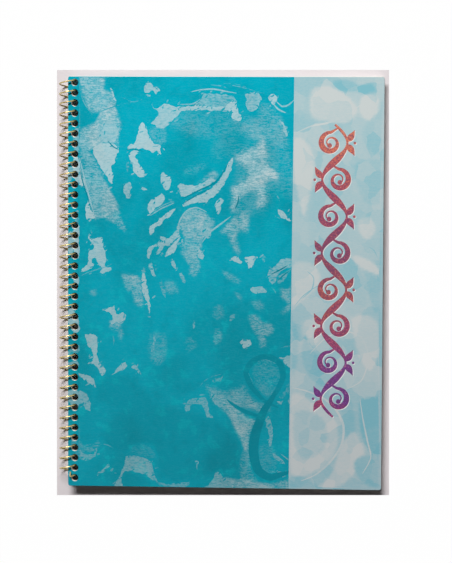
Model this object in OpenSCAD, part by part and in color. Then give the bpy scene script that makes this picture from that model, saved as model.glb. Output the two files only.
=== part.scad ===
// Spiral-bound notebook, lying on its back cover with the front cover up, in millimetres.
// One round wire, wound as a right-handed helix, threads a row of holes through two card
// covers and a block of sheets. X runs from the spine to the fore-edge, Y from the foot to
// the head, and Z from the back cover to the front cover. The origin is under the middle of
// the whole, at the lowest point of the wire.

/* [Covers] */
// Width of each cover, from its spine edge to its fore-edge
cover_w = 194.5; // [120:0.5:230]
// Height of each cover, from its foot to its head
cover_h = 254; // [140:1:285]
// Thickness of the card
cover_t = 0.8; // [0.4:0.1:1]
// Radius of the rounded corners of covers and sheets
corner_r = 1.2; // [1:0.1:8]

/* [Scored hinge line] */
// Distance from a cover's spine edge to the score that it folds along
score_inset = 6.7; // [6.5:0.1:15]
// Width of the score
score_w = 0.4; // [0.2:0.1:1]
// Depth of the score in the outer face
score_depth = 0.1; // [0.05:0.05:0.2]

/* [Sheets] */
// Thickness of the whole block of sheets
pages_t = 4.9; // [2:0.1:6]
// How far the sheets end inside the covers, at the fore-edge and over the two ends together
page_inset = 1.3; // [0.5:0.1:1.5]

/* [Punched holes] */
// Distance between two holes, centre to centre, which is also the wire's pitch
pitch = 6.29; // [5.6:0.01:6.29]
// Diameter of each hole
hole_d = 4.5; // [4.5:0.05:4.9]
// Distance from a spine edge to the centres of its holes
hole_inset = 4.15; // [3.6:0.05:4.4]
// Distance from the front cover's head to the centre of its first hole
front_head_margin = 3.65; // [3.2:0.05:4.5]
// The same distance on the back cover
back_head_margin = 3.05; // [2.9:0.05:4.5]
// The same distance on the sheets
page_head_margin = 3.05; // [2.9:0.05:3.1]
// Least distance from the last hole to the front cover's foot
least_foot_margin = 4.8; // [4.8:0.1:6]

/* [Spiral wire] */
// Diameter of the wire
wire_d = 0.9; // [0.5:0.05:0.9]
// Distance from the wire's long axis to the spine edges of the covers
spine_gap = 0.32; // [0.2:0.02:0.6]

/* [Hidden] */

$fn = 48;
teal = [0.04, 0.60, 0.68];
paper_white = [0.95, 0.94, 0.91];
gold = [0.80, 0.66, 0.36];

wire_sides = 8;         // corners of the wire's section
wire_steps = 16;        // straight lengths in each turn
wire_end_steps = 3;     // lengths that the wire runs on past its first and last hole
step_deg = 360 / wire_steps;
wire_r = wire_d / 2;

hole_count = 1 + floor((cover_h - front_head_margin - least_foot_margin) / pitch);

// The wire's axis is the origin of everything below, until the last translate. The wire
// crosses the middle of each cover's thickness at the centre line of its holes.
cover_mid_z = (pages_t + cover_t) / 2;
cover_hole_x = hole_inset + spine_gap;
coil_r = norm([cover_hole_x, cover_mid_z]);
coil_outer_r = coil_r + wire_r;

// Sheets ride a little further out than the covers, towards the widest point of the wire.
page_hole_x = (cover_hole_x + coil_r) / 2;
page_spine_x = page_hole_x - hole_inset;
page_w = spine_gap + cover_w - page_inset - page_spine_x;
page_h = cover_h - 2 * page_inset;

// Threaded on a helix, the stack leans: each leaf lies lower on the wire than the one
// below it. cover_lean is the drop from the middle of the stack to the front cover, and
// page_lean is the drop to the topmost sheet.
function drop(angle) = pitch * angle / 360;
cover_lean = drop(asin(cover_mid_z / coil_r));
page_lean = drop(asin(pages_t / 2 / coil_r));
page_tilt = atan(page_lean / (pages_t / 2));

// Centre of the first hole in each piece, with the front cover's at zero
front_first_y = 0;
page_first_y = front_first_y + cover_lean;
back_first_y = page_first_y + cover_lean;

// A leaf that turns half a turn travels half a pitch along the wire. So the wire lies a
// quarter pitch above the middle of its holes at rest, and may end as far below.
wire_float = pitch / 4;
wire_first_y = page_first_y + wire_float;

head_y = max(front_first_y + front_head_margin, back_first_y + back_head_margin);
foot_y = min(front_first_y + front_head_margin, back_first_y + back_head_margin) - cover_h;
to_origin = [
    (coil_outer_r - spine_gap - cover_w) / 2,
    -(head_y + foot_y) / 2,
    coil_outer_r
];

// Outline of a leaf, from its spine edge at x = 0 and its head at y = 0
module leaf_outline(w, h, r) {
    translate([r, -h]) square([w - 2 * r, h]);
    translate([0, r - h]) square([w, h - 2 * r]);
    for (x = [r, w - r], y = [-r, r - h]) translate([x, y]) circle(r);
}

// A leaf's outline with its row of holes, from its spine edge and its first hole.
// y_scale shortens it along Y, for a leaf that is extruded at a slant.
module punched_leaf(w, h, head_margin, y_scale = 1) {
    difference() {
        translate([0, head_margin * y_scale]) leaf_outline(w, h * y_scale, corner_r);
        for (i = [0 : hole_count - 1])
            translate([hole_inset, -i * pitch * y_scale]) circle(d = hole_d);
    }
}

// A card cover, lying on z = 0 with its outer face up
module cover(head_margin) {
    difference() {
        linear_extrude(cover_t) punched_leaf(cover_w, cover_h, head_margin);
        translate([score_inset - score_w / 2, head_margin - cover_h - 1, cover_t - score_depth])
            cube([score_w, cover_h + 2, score_depth + 1]);
    }
}

module front_cover() {
    color(teal)
        translate([spine_gap, front_first_y, pages_t / 2]) cover(front_head_margin);
}

// The same card, printed side down. Mirrored, it keeps its holes at the spine.
module back_cover() {
    color(teal)
        mirror([0, 0, 1])
        translate([spine_gap, back_first_y, pages_t / 2]) cover(back_head_margin);
}

// All the sheets as one block. Its ends and its holes slant with the wire.
module page_block() {
    slant_h = 2 * (page_h * sin(page_tilt) + pages_t);
    color(paper_white)
        translate([page_spine_x, page_first_y, 0])
        intersection() {
            rotate([page_tilt, 0, 0])
                translate([0, 0, -slant_h / 2])
                linear_extrude(slant_h)
                punched_leaf(page_w, page_h, page_head_margin, cos(page_tilt));
            translate([-1, -page_h - pages_t, -pages_t / 2])
                cube([page_w + 2, page_h + 3 * pages_t, pages_t]);
        }
}

// The wire's centre line at an angle from +X towards +Z, counted on over all its turns
function wire_centre(angle) = [
    coil_r * cos(angle),
    wire_first_y - drop(angle),
    coil_r * sin(angle)
];

// One ring of the wire's surface, square to its centre line
function wire_ring(angle) =
    let (
        out = [cos(angle), 0, sin(angle)],
        run = [-coil_r * sin(angle), -pitch / (2 * PI), coil_r * cos(angle)],
        across = cross(run / norm(run), out)
    )
    [for (k = [0 : wire_sides - 1])
        let (turn = 360 * k / wire_sides)
        wire_centre(angle) + wire_r * (cos(turn) * out + sin(turn) * across)];

module spiral_wire() {
    first_step = -wire_end_steps;
    last_step = (hole_count - 1) * wire_steps + wire_end_steps;
    rings = last_step - first_step;
    points = [for (s = [first_step : last_step]) each wire_ring(s * step_deg)];
    sides = [
        for (r = [0 : rings - 1], k = [0 : wire_sides - 1])
            let (
                a = r * wire_sides + k,
                b = r * wire_sides + (k + 1) % wire_sides,
                c = a + wire_sides,
                d = b + wire_sides
            )
            each [[a, c, b], [b, c, d]]
    ];
    start_cap = [for (k = [0 : wire_sides - 1]) k];
    end_cap = [for (k = [wire_sides - 1 : -1 : 0]) rings * wire_sides + k];
    color(gold) polyhedron(points, concat(sides, [start_cap, end_cap]), convexity = 10);
}

translate(to_origin) page_block();
translate(to_origin) front_cover();
translate(to_origin) back_cover();
translate(to_origin) spiral_wire();
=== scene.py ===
"""Looks of a spiral-bound notebook: printed card covers, paper sheets, a gold-coloured wire and a foil scroll.

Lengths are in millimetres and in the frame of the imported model, until a mesh is made from them in metres.
"""
import logging
import math
import random
from dataclasses import dataclass, field
from enum import Enum
from typing import Callable, ClassVar, Iterable, Sequence

import bpy
import numpy as np
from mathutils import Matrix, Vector
from mathutils.geometry import delaunay_2d_cdt


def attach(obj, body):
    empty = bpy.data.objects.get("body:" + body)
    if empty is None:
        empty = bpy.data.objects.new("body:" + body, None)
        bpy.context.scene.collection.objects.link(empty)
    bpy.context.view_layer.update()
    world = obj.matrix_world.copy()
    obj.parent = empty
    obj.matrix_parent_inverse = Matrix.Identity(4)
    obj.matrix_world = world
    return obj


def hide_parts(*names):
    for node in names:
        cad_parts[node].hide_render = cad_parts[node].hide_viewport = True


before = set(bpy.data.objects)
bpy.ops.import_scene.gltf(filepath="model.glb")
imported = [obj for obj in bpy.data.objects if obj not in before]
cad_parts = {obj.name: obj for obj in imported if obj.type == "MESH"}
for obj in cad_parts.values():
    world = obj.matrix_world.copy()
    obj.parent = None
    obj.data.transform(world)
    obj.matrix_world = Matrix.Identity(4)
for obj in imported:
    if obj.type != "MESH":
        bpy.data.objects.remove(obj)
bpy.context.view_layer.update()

LOG = logging.getLogger("notebook")
MM = 0.001
# Odd numbers that scatter the corners of a noise's cells, and the 32 bits that are kept
SCATTER = (374761393, 668265263, 974634777, 1274126177)
BITS = 0xFFFFFFFF

Point = tuple[float, float]
Loop = list[Point]
Triple = tuple[float, float, float]
Socket = bpy.types.NodeSocket
Colour = Triple


def srgb(red: int, green: int, blue: int) -> Colour:
    """Turns a colour written as 0 to 255 into the linear values that a shader takes.

    Args:
        red: Red, 0 to 255.
        green: Green, 0 to 255.
        blue: Blue, 0 to 255.

    Returns:
        The three linear values, 0 to 1.
    """
    def linear(value: int) -> float:
        """One channel."""
        v = value / 255
        return v / 12.92 if v <= 0.04045 else ((v + 0.055) / 1.055) ** 2.4
    return linear(red), linear(green), linear(blue)


class Layer(Enum):
    """The two ways in which the card is printed, as the value that the print's veil attribute takes."""

    MARBLED = 0.0
    VEILED = 1.0


# Every field of the print is (ink, x, y, x, y, ...): millimetres from the spine edge and from the head.
# Ink runs from 1, bare pale, through dry brush work, to 0, teal, and below 0 to a darker teal.
# The fields of washes have the half width of their soft edge after the ink.
Field = tuple[float, ...]

BRUSHED: tuple[Field, ...] = (
    (.52, .7, 7, 0, 22, 0, 22.3, 6, 24, 9, 27, 9.5, 29, 14, 29, 19, 24, 21, 15, 22, 12, 19, 9, 12, 8, 6),
    (.58, .7, 20, 22, 29, 19, 31, 24, 33, 28, 33, 31, 31.5, 37, 31, 43, 28, 41, 22, 41, 16, 44, 12, 46, 7, 44,
     7, 34, 10, 31, 14, 30, 18, 27),
    (.50, .8, 7, 47, 12, 46, 15, 48, 17, 52, 20, 57, 24, 65, 28, 73, 31, 79, 33, 87, 36, 93, 36, 95, 33, 94.5,
     29, 91, 25, 88, 20, 87, 17, 88, 15, 83, 13, 76, 11, 68, 9, 60, 7, 52),
    (.22, 3.5, 64, 20, 76, 21, 92, 21, 104, 22, 118, 25, 126, 30, 134, 37, 138, 48, 139.5, 60, 134, 63, 128, 60,
     124, 54, 121, 44, 112, 38, 102, 35, 92, 38, 82, 37, 73, 36, 68, 33, 63, 30),
    (.34, 1.4, 50, 32, 60, 31, 61, 36, 60, 41, 54, 41),
    (.14, 2.5, 92, 38, 103, 36, 106, 44, 99, 50, 92, 52, 88, 46),
    (.25, 1.6, 72, 57, 76, 55, 80, 54, 84, 52, 85, 55, 80, 59, 73, 60),
    (.40, 1.0, 80, 66, 85, 61, 90, 57, 93, 60, 92, 63, 88, 63),
    (.52, .7, 72, 84, 75, 81.5, 80, 81, 84, 82.5, 88, 86, 91, 87.5, 91, 91, 89, 95, 85, 98, 83, 102, 83, 107,
     80, 110, 82, 115, 82, 120, 78, 123, 75, 121, 76, 116, 72, 112, 70, 108, 70, 104, 72, 100, 71, 96, 69, 91, 70, 87),
    (.50, .8, 33, 122, 40, 122, 45, 124, 46, 132, 47, 141, 44, 142, 41, 138, 40, 134, 36, 131, 34, 126),
    (.35, 2.4, 118, 17, 121, 16, 125, 17, 130, 22, 133, 28, 135, 35, 135, 45, 132, 52, 128, 50, 122, 40, 118, 38,
     112, 38, 107, 33, 110, 28, 117, 26),
    (.48, 2.0, 127, 57, 131, 58, 135, 64, 138, 70, 139.5, 77, 139.5, 57, 135, 50, 131, 52),
    (.50, 1.8, 104, 78, 110, 75, 117, 76, 117, 79, 113, 82, 112, 90, 111, 96, 107, 94, 104, 99, 107, 107, 106, 109,
     103, 106, 100, 100, 98, 95, 100, 90, 104, 86, 104, 82),
    (.60, .8, 94, 95, 99, 90, 103, 86, 105, 89, 101, 94, 97, 96.5),
    (.38, 1.0, 95, 119, 101, 121, 106, 124, 107, 127, 103, 126, 99, 124),
    (.44, .8, 26, 150, 30, 151, 33, 154, 30, 157, 26, 155),
    (.42, .8, 13, 133, 15, 131, 18, 132, 17, 135, 14, 134.5),
    (.42, .8, 31.5, 157, 33.5, 156, 34.5, 158, 33, 163, 31.5, 161),
    (.38, .8, 92, 155, 95, 157, 95.5, 161, 93, 165, 90.5, 163),
    (.32, 1.2, 60, 127, 64, 125, 68, 129, 69, 133, 64, 134, 61, 132),
    (.26, 1.2, 91, 141, 95, 140, 97, 146, 94, 150, 90, 148),
    (.42, .8, 113, 147, 116, 146, 120, 149, 118, 151, 114, 150),
    (.24, 1.5, 73, 162, 77, 160, 80, 165, 77, 170, 73, 168),
    (.25, 1.5, 50, 160, 54, 157.5, 60, 158, 61.5, 166, 60.5, 175, 55, 178, 51, 174, 49.5, 167),
    (.30, 1.0, 104, 132, 107, 134, 108, 138, 105, 136),
    (.22, 4.0, 102, 44, 112, 40, 124, 38, 134, 48, 139, 60, 138, 74, 128, 70, 122, 82, 108, 84, 100, 76, 104, 58),
    (.76, 2.4, 103, 49, 107, 46, 112, 44, 118, 42, 119, 37, 121, 38, 122, 45, 123, 52, 127, 57, 130, 60, 128, 63,
     124, 62, 121.5, 66, 122, 72, 123, 75, 120, 79, 117, 79, 118, 75, 117, 70, 113, 69, 107, 73, 104, 78, 102, 83,
     101, 80, 102, 75, 101, 70, 103, 67, 108, 64, 111, 61, 111, 57, 108, 53, 104, 51),
    (.44, 1.2, 112, 147, 116, 148, 122, 151, 127, 152, 128, 155, 126, 158, 123, 160, 123, 166, 119, 166, 118, 160,
     115, 156, 113, 151),
    (.30, 1.2, 114, 138, 119, 137, 122, 141, 120, 144, 116, 142),
    (.40, 2.0, 86, 190, 92, 192, 98, 194, 104, 192, 110, 190, 112, 195, 117, 200, 124, 202, 126, 205, 121, 207,
     115, 205, 108, 204, 100, 207, 94, 204, 89, 199),
    (.60, 1.1, 91, 196, 97, 198, 102, 202, 107, 206, 112, 210, 117, 212, 115, 216, 113, 222, 112.5, 230, 112, 238,
     113.5, 246, 118, 251, 108, 250, 109.5, 240, 110, 232, 108.5, 226, 105.5, 220, 102, 213, 98, 206, 93, 201),
    (.34, .8, 107, 236, 110, 230, 113, 232, 114, 241, 117, 247, 119, 250, 128, 253, 137, 254, 108, 255, 108, 248,
     107, 242),
    (.58, .8, 92, 251, 97, 248, 104, 248.5, 112, 249, 120, 250.6, 128, 250.6, 133, 249, 139.4, 248.6, 139.4, 256,
     92, 256),
    (.34, .9, 5, 225, 9, 228, 14, 229.5, 19, 226, 20, 228, 17, 232, 11, 233.5, 5, 231),
    (.42, 1.0, 131, 131, 133, 129.5, 137, 130, 139.5, 128, 139.5, 141, 136, 144, 132, 146, 134, 142, 137, 139,
     133, 136),
)

DARK: tuple[Field, ...] = (
    (-.13, 3, 34, 205, 60, 203, 92, 212, 106, 226, 107, 240, 92, 244, 78, 249, 60, 248, 54, 236, 44, 230, 30, 232,
     22, 222),
    (-.10, 1.5, 36, 246, 42, 246, 48, 249, 53, 252, 50, 255, 33, 255),
    (-.07, 3, 20, 98, 34, 96, 42, 104, 33, 117, 25, 112),
    (-.12, 2, 22, 186, 34, 184, 44, 190, 52, 200, 44, 206, 26, 204, 18, 196),
    (-.06, 3, 60, 176, 72, 172, 84, 180, 82, 192, 70, 196, 60, 188),
)

LIFTED: tuple[Field, ...] = (
    (.23, 1.0, 116, 178, 123, 174, 130, 178, 132, 186, 129, 194, 124, 197, 118, 192, 115, 185),
    (.22, 1.0, 120, 226, 128, 228, 131, 236, 128, 245, 121, 243, 119, 235),
    (.15, 1.5, 38, 232, 44, 227, 52, 228, 56, 236, 50, 236),
)

PALE: tuple[Field, ...] = (
    (.95, 17, 43, 21, 41, 27, 41, 31, 44, 30.5, 48, 29, 52, 27, 55, 26.5, 57, 28, 60, 27.5, 66, 26, 65.5, 24, 62,
     22, 59, 20, 55, 18, 51.5, 16, 48, 15, 46),
    (.80, 23, 28, 26, 27, 30, 30, 31, 36, 28, 40, 23, 40, 20, 36),
    (.95, 6.9, 53, 8, 57, 10, 64, 11.3, 69.5, 9, 68, 6.9, 66),
    (.95, 11, 80.5, 12.5, 76, 14, 81, 17, 87, 14, 87, 12, 88.5, 10.8, 86),
    (.90, 13, 97, 14, 99.5, 17, 100, 21, 99.5, 21.5, 104, 23, 109, 23.5, 114, 22, 117, 27, 118, 27, 119.5, 22, 121,
     20, 121, 21, 118, 18, 114, 17, 111.5, 15, 113, 16, 116, 13, 119, 9, 120.5, 8, 119, 11, 116.5, 12.5, 114,
     12.5, 108, 15, 106.5, 16, 104.5, 14, 102, 13, 100),
    (.90, 26, 7, 27.5, 8.5, 29, 12, 30, 15, 28.5, 14.5, 27.5, 11),
    (.85, 47, 6, 50, 4, 53, 6, 57, 8, 54, 10.5, 52, 9, 49, 10, 47, 9),
    (.35, 52, 0, 56, 0, 57, 6, 53, 5),
    (.35, 32, 3, 35, 3.5, 33, 5),
    (.62, 83.5, 12.5, 82, 10.5, 85, 10, 92, 10.5, 99, 11, 102, 12, 104, 16, 105, 20, 107, 26, 102, 26.5, 101, 22,
     90, 21, 78, 20.5, 70, 21, 68, 19, 76, 18, 81, 15),
    (.92, 100, 15, 104, 16, 105, 20, 107.3, 26.5, 102, 26.5, 101, 22, 97, 20),
    (.88, 62, 19, 70, 18.6, 78, 17.6, 90, 18.6, 99, 18.5, 99, 20, 88, 20.6, 76, 20.4, 66, 21),
    (.86, 52, 18.5, 55, 19.3, 60, 16.5, 66, 18.5, 70, 20, 68, 24, 64, 28, 60, 31, 57, 32, 54, 30, 51, 28.5, 54, 26,
     56, 23, 55.5, 20.5),
    (.97, 46, 28, 48, 31, 50, 35, 52.5, 40.5, 57, 42, 57.5, 46, 58, 48, 56.5, 47, 55, 45.5, 53, 47, 51, 45.5,
     47, 44.5, 42, 44.3, 37, 44.3, 38, 42, 41, 41.5, 43, 35, 44.5, 30),
    (.95, 38, 46.5, 42, 45.5, 44, 46.5, 41.5, 49, 43, 51, 45, 55, 47, 59, 47, 61, 44.5, 62, 41, 59, 40, 55, 38, 50),
    (.50, 36, 54, 37, 52.5, 38, 56, 36.5, 59),
    (.78, 34.5, 67, 37, 65, 39, 65, 39.7, 67, 38.5, 70, 39, 74, 37.5, 75.5, 36, 73.5, 34.5, 70),
    (.80, 45, 68.5, 47, 67.8, 49, 69, 48.5, 70.5, 46, 69.5),
    (.90, 59, 58.5, 60.5, 60.5, 63.5, 62, 64, 66, 62.5, 69, 61, 69.5, 58.5, 66.5, 57, 63.5, 57.5, 61),
    (.85, 68, 67.5, 70, 65.5, 74, 66.5, 80, 66.5, 86, 63.5, 89, 62, 91, 64, 89, 66.5, 85, 68.5, 79, 71, 74, 73,
     70.5, 73, 69.5, 69.5),
    (.88, 71, 78.5, 74, 75.5, 79, 73.3, 84, 71, 90, 67, 95, 61.5, 98, 55, 100, 51, 101.5, 50, 101, 57, 97.5, 64,
     94, 70, 89, 74.5, 85, 77, 80, 77.5, 74, 79, 71, 80),
    (.85, 93, 75, 96, 75.5, 95, 79, 93.5, 84, 92, 83, 91.3, 79),
    (.90, 50, 78, 53, 75, 56, 73.5, 58, 71.5, 59.5, 76, 57, 79, 54, 81, 51, 84, 49.5, 82),
    (.90, 51.5, 91, 55, 89, 58, 86, 62, 83, 67, 80.5, 64, 85, 60, 88, 57, 91, 54, 93, 52, 97, 51, 95),
    (.60, 62.5, 75, 65, 76, 65.5, 78, 64, 77.5),
    (.85, 81, 104, 83, 108, 84.5, 110, 83, 112, 80.5, 111),
    (.80, 84, 96, 88, 94.5, 89, 97, 86, 99),
    (.82, 57.5, 98, 61, 99, 64, 98.5, 67, 94, 68.5, 90, 69, 96, 69.5, 99, 66, 100, 63, 104, 60, 104.5, 57, 109,
     55, 108.5, 57, 104.5, 53, 105.5, 50.5, 112, 49, 111, 50, 106, 52, 104, 57, 102, 60, 101.7, 58, 100),
    (.90, 60, 111, 62, 106.5, 66, 102, 69, 99.5, 67, 106, 63, 110),
    (.80, 65, 112, 66.5, 115, 67.7, 119.5, 66.3, 119, 64, 115),
    (.75, 50, 116, 52, 115, 53, 118, 55, 123, 53, 122),
    (.95, 46.5, 118.5, 48, 124, 50, 132, 51, 140, 50.3, 146, 49, 138, 46, 132, 45.8, 125),
    (.60, 58, 125, 60, 130, 61, 136, 59, 134, 57, 129),
    (.65, 69, 121, 72, 123, 73, 127, 71, 126),
    (.74, 109, 11, 112, 10, 117, 10, 119, 13, 118, 17, 117, 20, 114, 21, 111, 20.5, 109.5, 17, 110, 14),
    (.90, 124, 13, 125, 11, 128, 11, 129, 14, 128, 16, 126.5, 17.5, 125, 15.5),
    (.80, 130, 26, 133, 28, 135, 33, 135.5, 36.5, 134, 35, 132, 30),
    (.92, 130, 81.5, 133, 82.5, 136, 86, 138.5, 88.5, 135, 87.5, 131, 85),
    (.92, 101, 111.5, 105, 110.5, 108, 114, 106, 114.5, 103, 113),
    (.97, 110, 111, 113, 110.5, 117, 110.5, 114, 116, 112.5, 118, 111, 114),
    (.50, 121, 110, 122.5, 110, 122, 113.5, 121, 113),
    (.75, 124, 119, 127, 117, 131, 113, 134, 111.5, 139.5, 112, 139.5, 115, 134, 118, 130, 121, 129, 125, 127, 127,
     124.5, 124),
    (.60, 130, 122.5, 134, 120, 138.5, 117, 136, 122, 133, 126, 130, 127),
    (.80, 113, 130.5, 117, 129, 121, 129, 123, 131, 123, 132.5, 119, 133, 115, 132.5),
    (.92, 22.5, 143.7, 27, 142.5, 29, 141, 29.5, 144, 31, 147, 34, 145.5, 35.7, 147, 35, 150, 32, 152, 30, 151,
     28, 153, 26.5, 152, 28, 149, 26, 145.5),
    (.90, 10, 160, 13, 159, 17, 159.5, 18, 163, 18, 169, 18, 173, 19, 174.5, 21, 178, 23, 181.5, 21, 185, 19.5, 182,
     17.5, 179, 15, 178, 12.5, 178, 15, 176.3, 16, 174, 15.5, 171, 14, 168, 12, 165),
    (.88, 6.9, 184, 11, 184, 14, 185, 16.5, 188, 18, 192, 16, 191, 12, 189, 9, 187),
    (.70, 6.9, 195, 11, 195.5, 12.5, 198, 14, 202, 14, 207, 11, 206, 9, 203, 6.9, 202),
    (.85, 28, 184.5, 30, 181, 33, 178, 35.5, 176.5, 36.5, 178.5, 34, 181, 30, 183),
    (.70, 40, 179, 42, 178, 44, 180.5, 46, 184, 43, 181.5, 41, 180.5),
    (.60, 53, 160, 54.5, 161, 54, 165, 53.5, 169, 52, 169.5, 53, 165),
    (.55, 55, 176, 57, 174.5, 57, 177.5, 54.5, 177),
    (.50, 90, 187, 95, 184.5, 97, 185, 95, 187, 91, 188.5),
    (.60, 6.9, 229, 8, 232, 12, 234.5, 16, 234, 18, 230, 18.6, 232, 16, 236, 12, 238, 7, 236.5),
    (.62, 18, 247.5, 22, 243, 25, 240, 26, 241, 22, 245, 19, 248),
    (.72, 36, 236, 40, 235, 46, 235.5, 51, 237.5, 53, 242, 55, 248, 56, 250, 52, 249, 48, 246, 43, 245, 38, 244,
     35, 245.5, 33, 250, 34, 255, 28, 255, 30, 251, 33, 246, 35, 240),
    (.60, 55, 250, 62, 252, 70, 251.5, 77, 250.5, 73, 253.5, 64, 254.4, 57, 252.5),
    (.66, 73, 203, 76, 199, 80, 198, 85, 198, 87, 201, 88, 207, 90, 210, 86, 209.5, 85, 205, 83, 202.5, 79, 202,
     76, 203.5, 76, 206, 74, 207, 72.5, 205),
    (.62, 89, 195, 92, 199, 96, 201, 100, 205, 101, 208, 94, 203, 90, 200),
    (.66, 84, 256, 88, 252, 91, 249, 93, 244, 96, 246, 98, 249, 101, 250, 101, 256),
    (.60, 101, 147, 103.5, 146, 103, 149, 101, 150),
    (.90, 107, 163.5, 110, 161, 113, 162, 114, 164, 112, 166, 109, 166.5),
    (.80, 131, 172.5, 135, 172, 139.5, 171, 139.5, 178, 136, 178, 134, 176, 133, 174),
    (.66, 123, 212, 125, 209.5, 127, 216, 127, 224, 126, 228, 125, 222, 124, 216),
    (.45, 131, 198, 134, 194, 137, 189, 138, 190, 136, 195, 133, 199),
    (.90, 130.5, 200, 132.6, 200, 132, 202),
    (.60, 136, 200, 139.5, 196, 139.5, 202),
    (.70, 128, 232, 131, 234, 135, 238, 133, 238, 129, 235),
    (.60, 130, 243, 133, 244, 136, 246, 133, 246.5),
    (.66, 77.6, 149.5, 78.9, 150, 79, 154.5, 77.8, 155),
    (.70, 80, 237.5, 81.8, 237.5, 81.3, 240, 80.6, 243, 80.2, 240),
)

# Ink of a face that no field with sharp edges lies on: the washes show there
BARE = -9.0

# Print of the narrow strip between the spine edge and the score, which doesn't run on past it
STRIP: tuple[Field, ...] = (
    (.60, 3, 34, 6.6, 33, 6.6, 47, 5.5, 48, 3.5, 44),
    (.92, 2.5, 52, 6.6, 50, 6.6, 67, 5.5, 66, 2.5, 60),
    (.70, 0, 57, 2.5, 56, 2.5, 63, 0, 64),
    (.45, 4, 84, 6.6, 83, 6.6, 92, 4.5, 91),
    (.92, 3, 95, 6.6, 92, 6.6, 112, 4.5, 111, 3, 103),
    (.80, 0, 97, 3, 96, 3, 109, 0, 108),
    (.80, 4, 124, 6.6, 124, 6.6, 131, 4.5, 131),
    (.88, 0, 143, 2.5, 144, 6.6, 149, 6.6, 157, 4, 158, 0, 152),
    (.50, 0, 169, 6.6, 166, 6.6, 170, 0, 174),
    (.70, 0, 177, 5, 176, 6.6, 178, 3, 181, 0, 181),
    (.72, 0, 195, 6.6, 195.5, 6.6, 205, 3, 204, 0, 200),
    (.55, 2, 226, 6.6, 227, 6.6, 236, 3, 233),
)

# Each stroke is (ink, full width, x, y, x, y, ...)
STROKES: tuple[Field, ...] = (
    (-.20, 3.8, 131, 203.5, 126, 201.5, 121, 198.5, 114, 190.5, 110.8, 182.4, 113.6, 176.2, 119.5, 172.8, 126, 172.4,
     132, 177, 133.6, 184, 131, 191, 127, 197.5, 122, 205, 119, 213),
    (-.27, 6.0, 129, 193, 126.5, 198.5, 122, 205.5, 118.4, 214.8, 116, 224, 115.8, 233.5, 118.6, 242.6, 125.5, 247,
     132, 245.4, 138.5, 243.5),
    (-.20, 2.4, 99, 199, 105, 203.5, 111, 206.5, 117, 208.5, 121, 208),
    (.45, .8, 82, 191, 85, 187.5, 89, 185, 95, 183.3),
    (.85, .8, 7, 50, 9.5, 60, 12, 70, 14.5, 79, 17, 88),
    (.55, .6, 7, 5, 9, 14, 13, 21, 15.5, 24),
    (-.30, .8, 7, 56, 9.5, 66, 12, 74, 14, 81),
    (.50, .6, 33, 12.5, 40, 15.5, 46, 14),
    (.45, .6, 20, 21.5, 30, 18, 38, 16, 42, 16),
    (.80, .9, 76, 9.3, 82, 8, 90, 7.6, 98, 9, 104, 10),
    (.45, .6, 88, 5, 94, 5.6, 99, 7),
    (.50, .6, 100, 5, 108, 6.6, 116, 9, 121, 10),
    (.40, .5, 96, 4, 104, 4.6, 112, 7),
    (.70, .8, 69, 17, 77, 16.6, 82, 13.6),
    (-.30, 1.1, 70, 75.5, 80, 70.3, 90, 65.5, 95, 60, 99, 53),
    (-.30, .8, 71, 78, 80, 72.5, 88, 68.6),
    (.80, .9, 68, 95, 69.5, 88, 74, 82, 80, 80.4, 86, 83),
    (.70, .8, 51, 85.5, 58, 81, 66, 77.5),
    (.60, .6, 52, 83.5, 59, 79, 64, 77),
    (.80, 1.0, 83, 102, 88, 95.5, 95, 90, 101, 85.5),
    (.85, 1.0, 126.5, 16.5, 130, 20, 134.5, 22),
    (.80, 1.0, 128.5, 15, 132, 18, 136, 17, 139.5, 14),
    (-.30, .8, 36, 45, 41, 44.6, 47, 46),
    (-.30, .8, 24.5, 39.5, 28, 43, 31.5, 45),
    (-.40, .9, 105.5, 73, 105.2, 77, 103.5, 81),
    (-.40, .9, 126, 121, 131, 118.5, 136, 115.5),
    (-.30, .8, 130, 125, 133, 122, 137, 119),
    (.50, .8, 126.5, 83.5, 129, 85.5, 131.5, 87),
    (.45, .8, 128, 71, 130, 74, 131, 76.5),
    (.45, .6, 117, 175.5, 123, 174, 129.5, 176.5),
    (.35, .8, 112, 182, 116, 190, 121, 196),
    (.30, .7, 117, 182, 122, 189),
    (.45, .6, 113, 201.5, 118, 199.5, 123, 199),
    (.60, .7, 132, 232, 136, 235, 139, 237.5),
    (.42, .8, 9, 229, 16, 228, 24, 228, 28.5, 230.5),
    (.35, .6, 90, 119, 95, 121, 100, 123.5),
    (.40, .6, 113, 158, 118, 155.5, 122, 154),
    (.45, .6, 112, 147.5, 117, 150, 121, 153),
    (.50, .7, 126, 129, 128, 131, 129, 133),
    (.55, .6, 132, 166.5, 136, 165.5, 139.5, 165),
    (.50, .7, 28, 160, 28.6, 163, 28.2, 166),
    (.50, .5, 8, 123, 12, 121, 18, 119, 24, 117, 28, 115),
)

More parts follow.
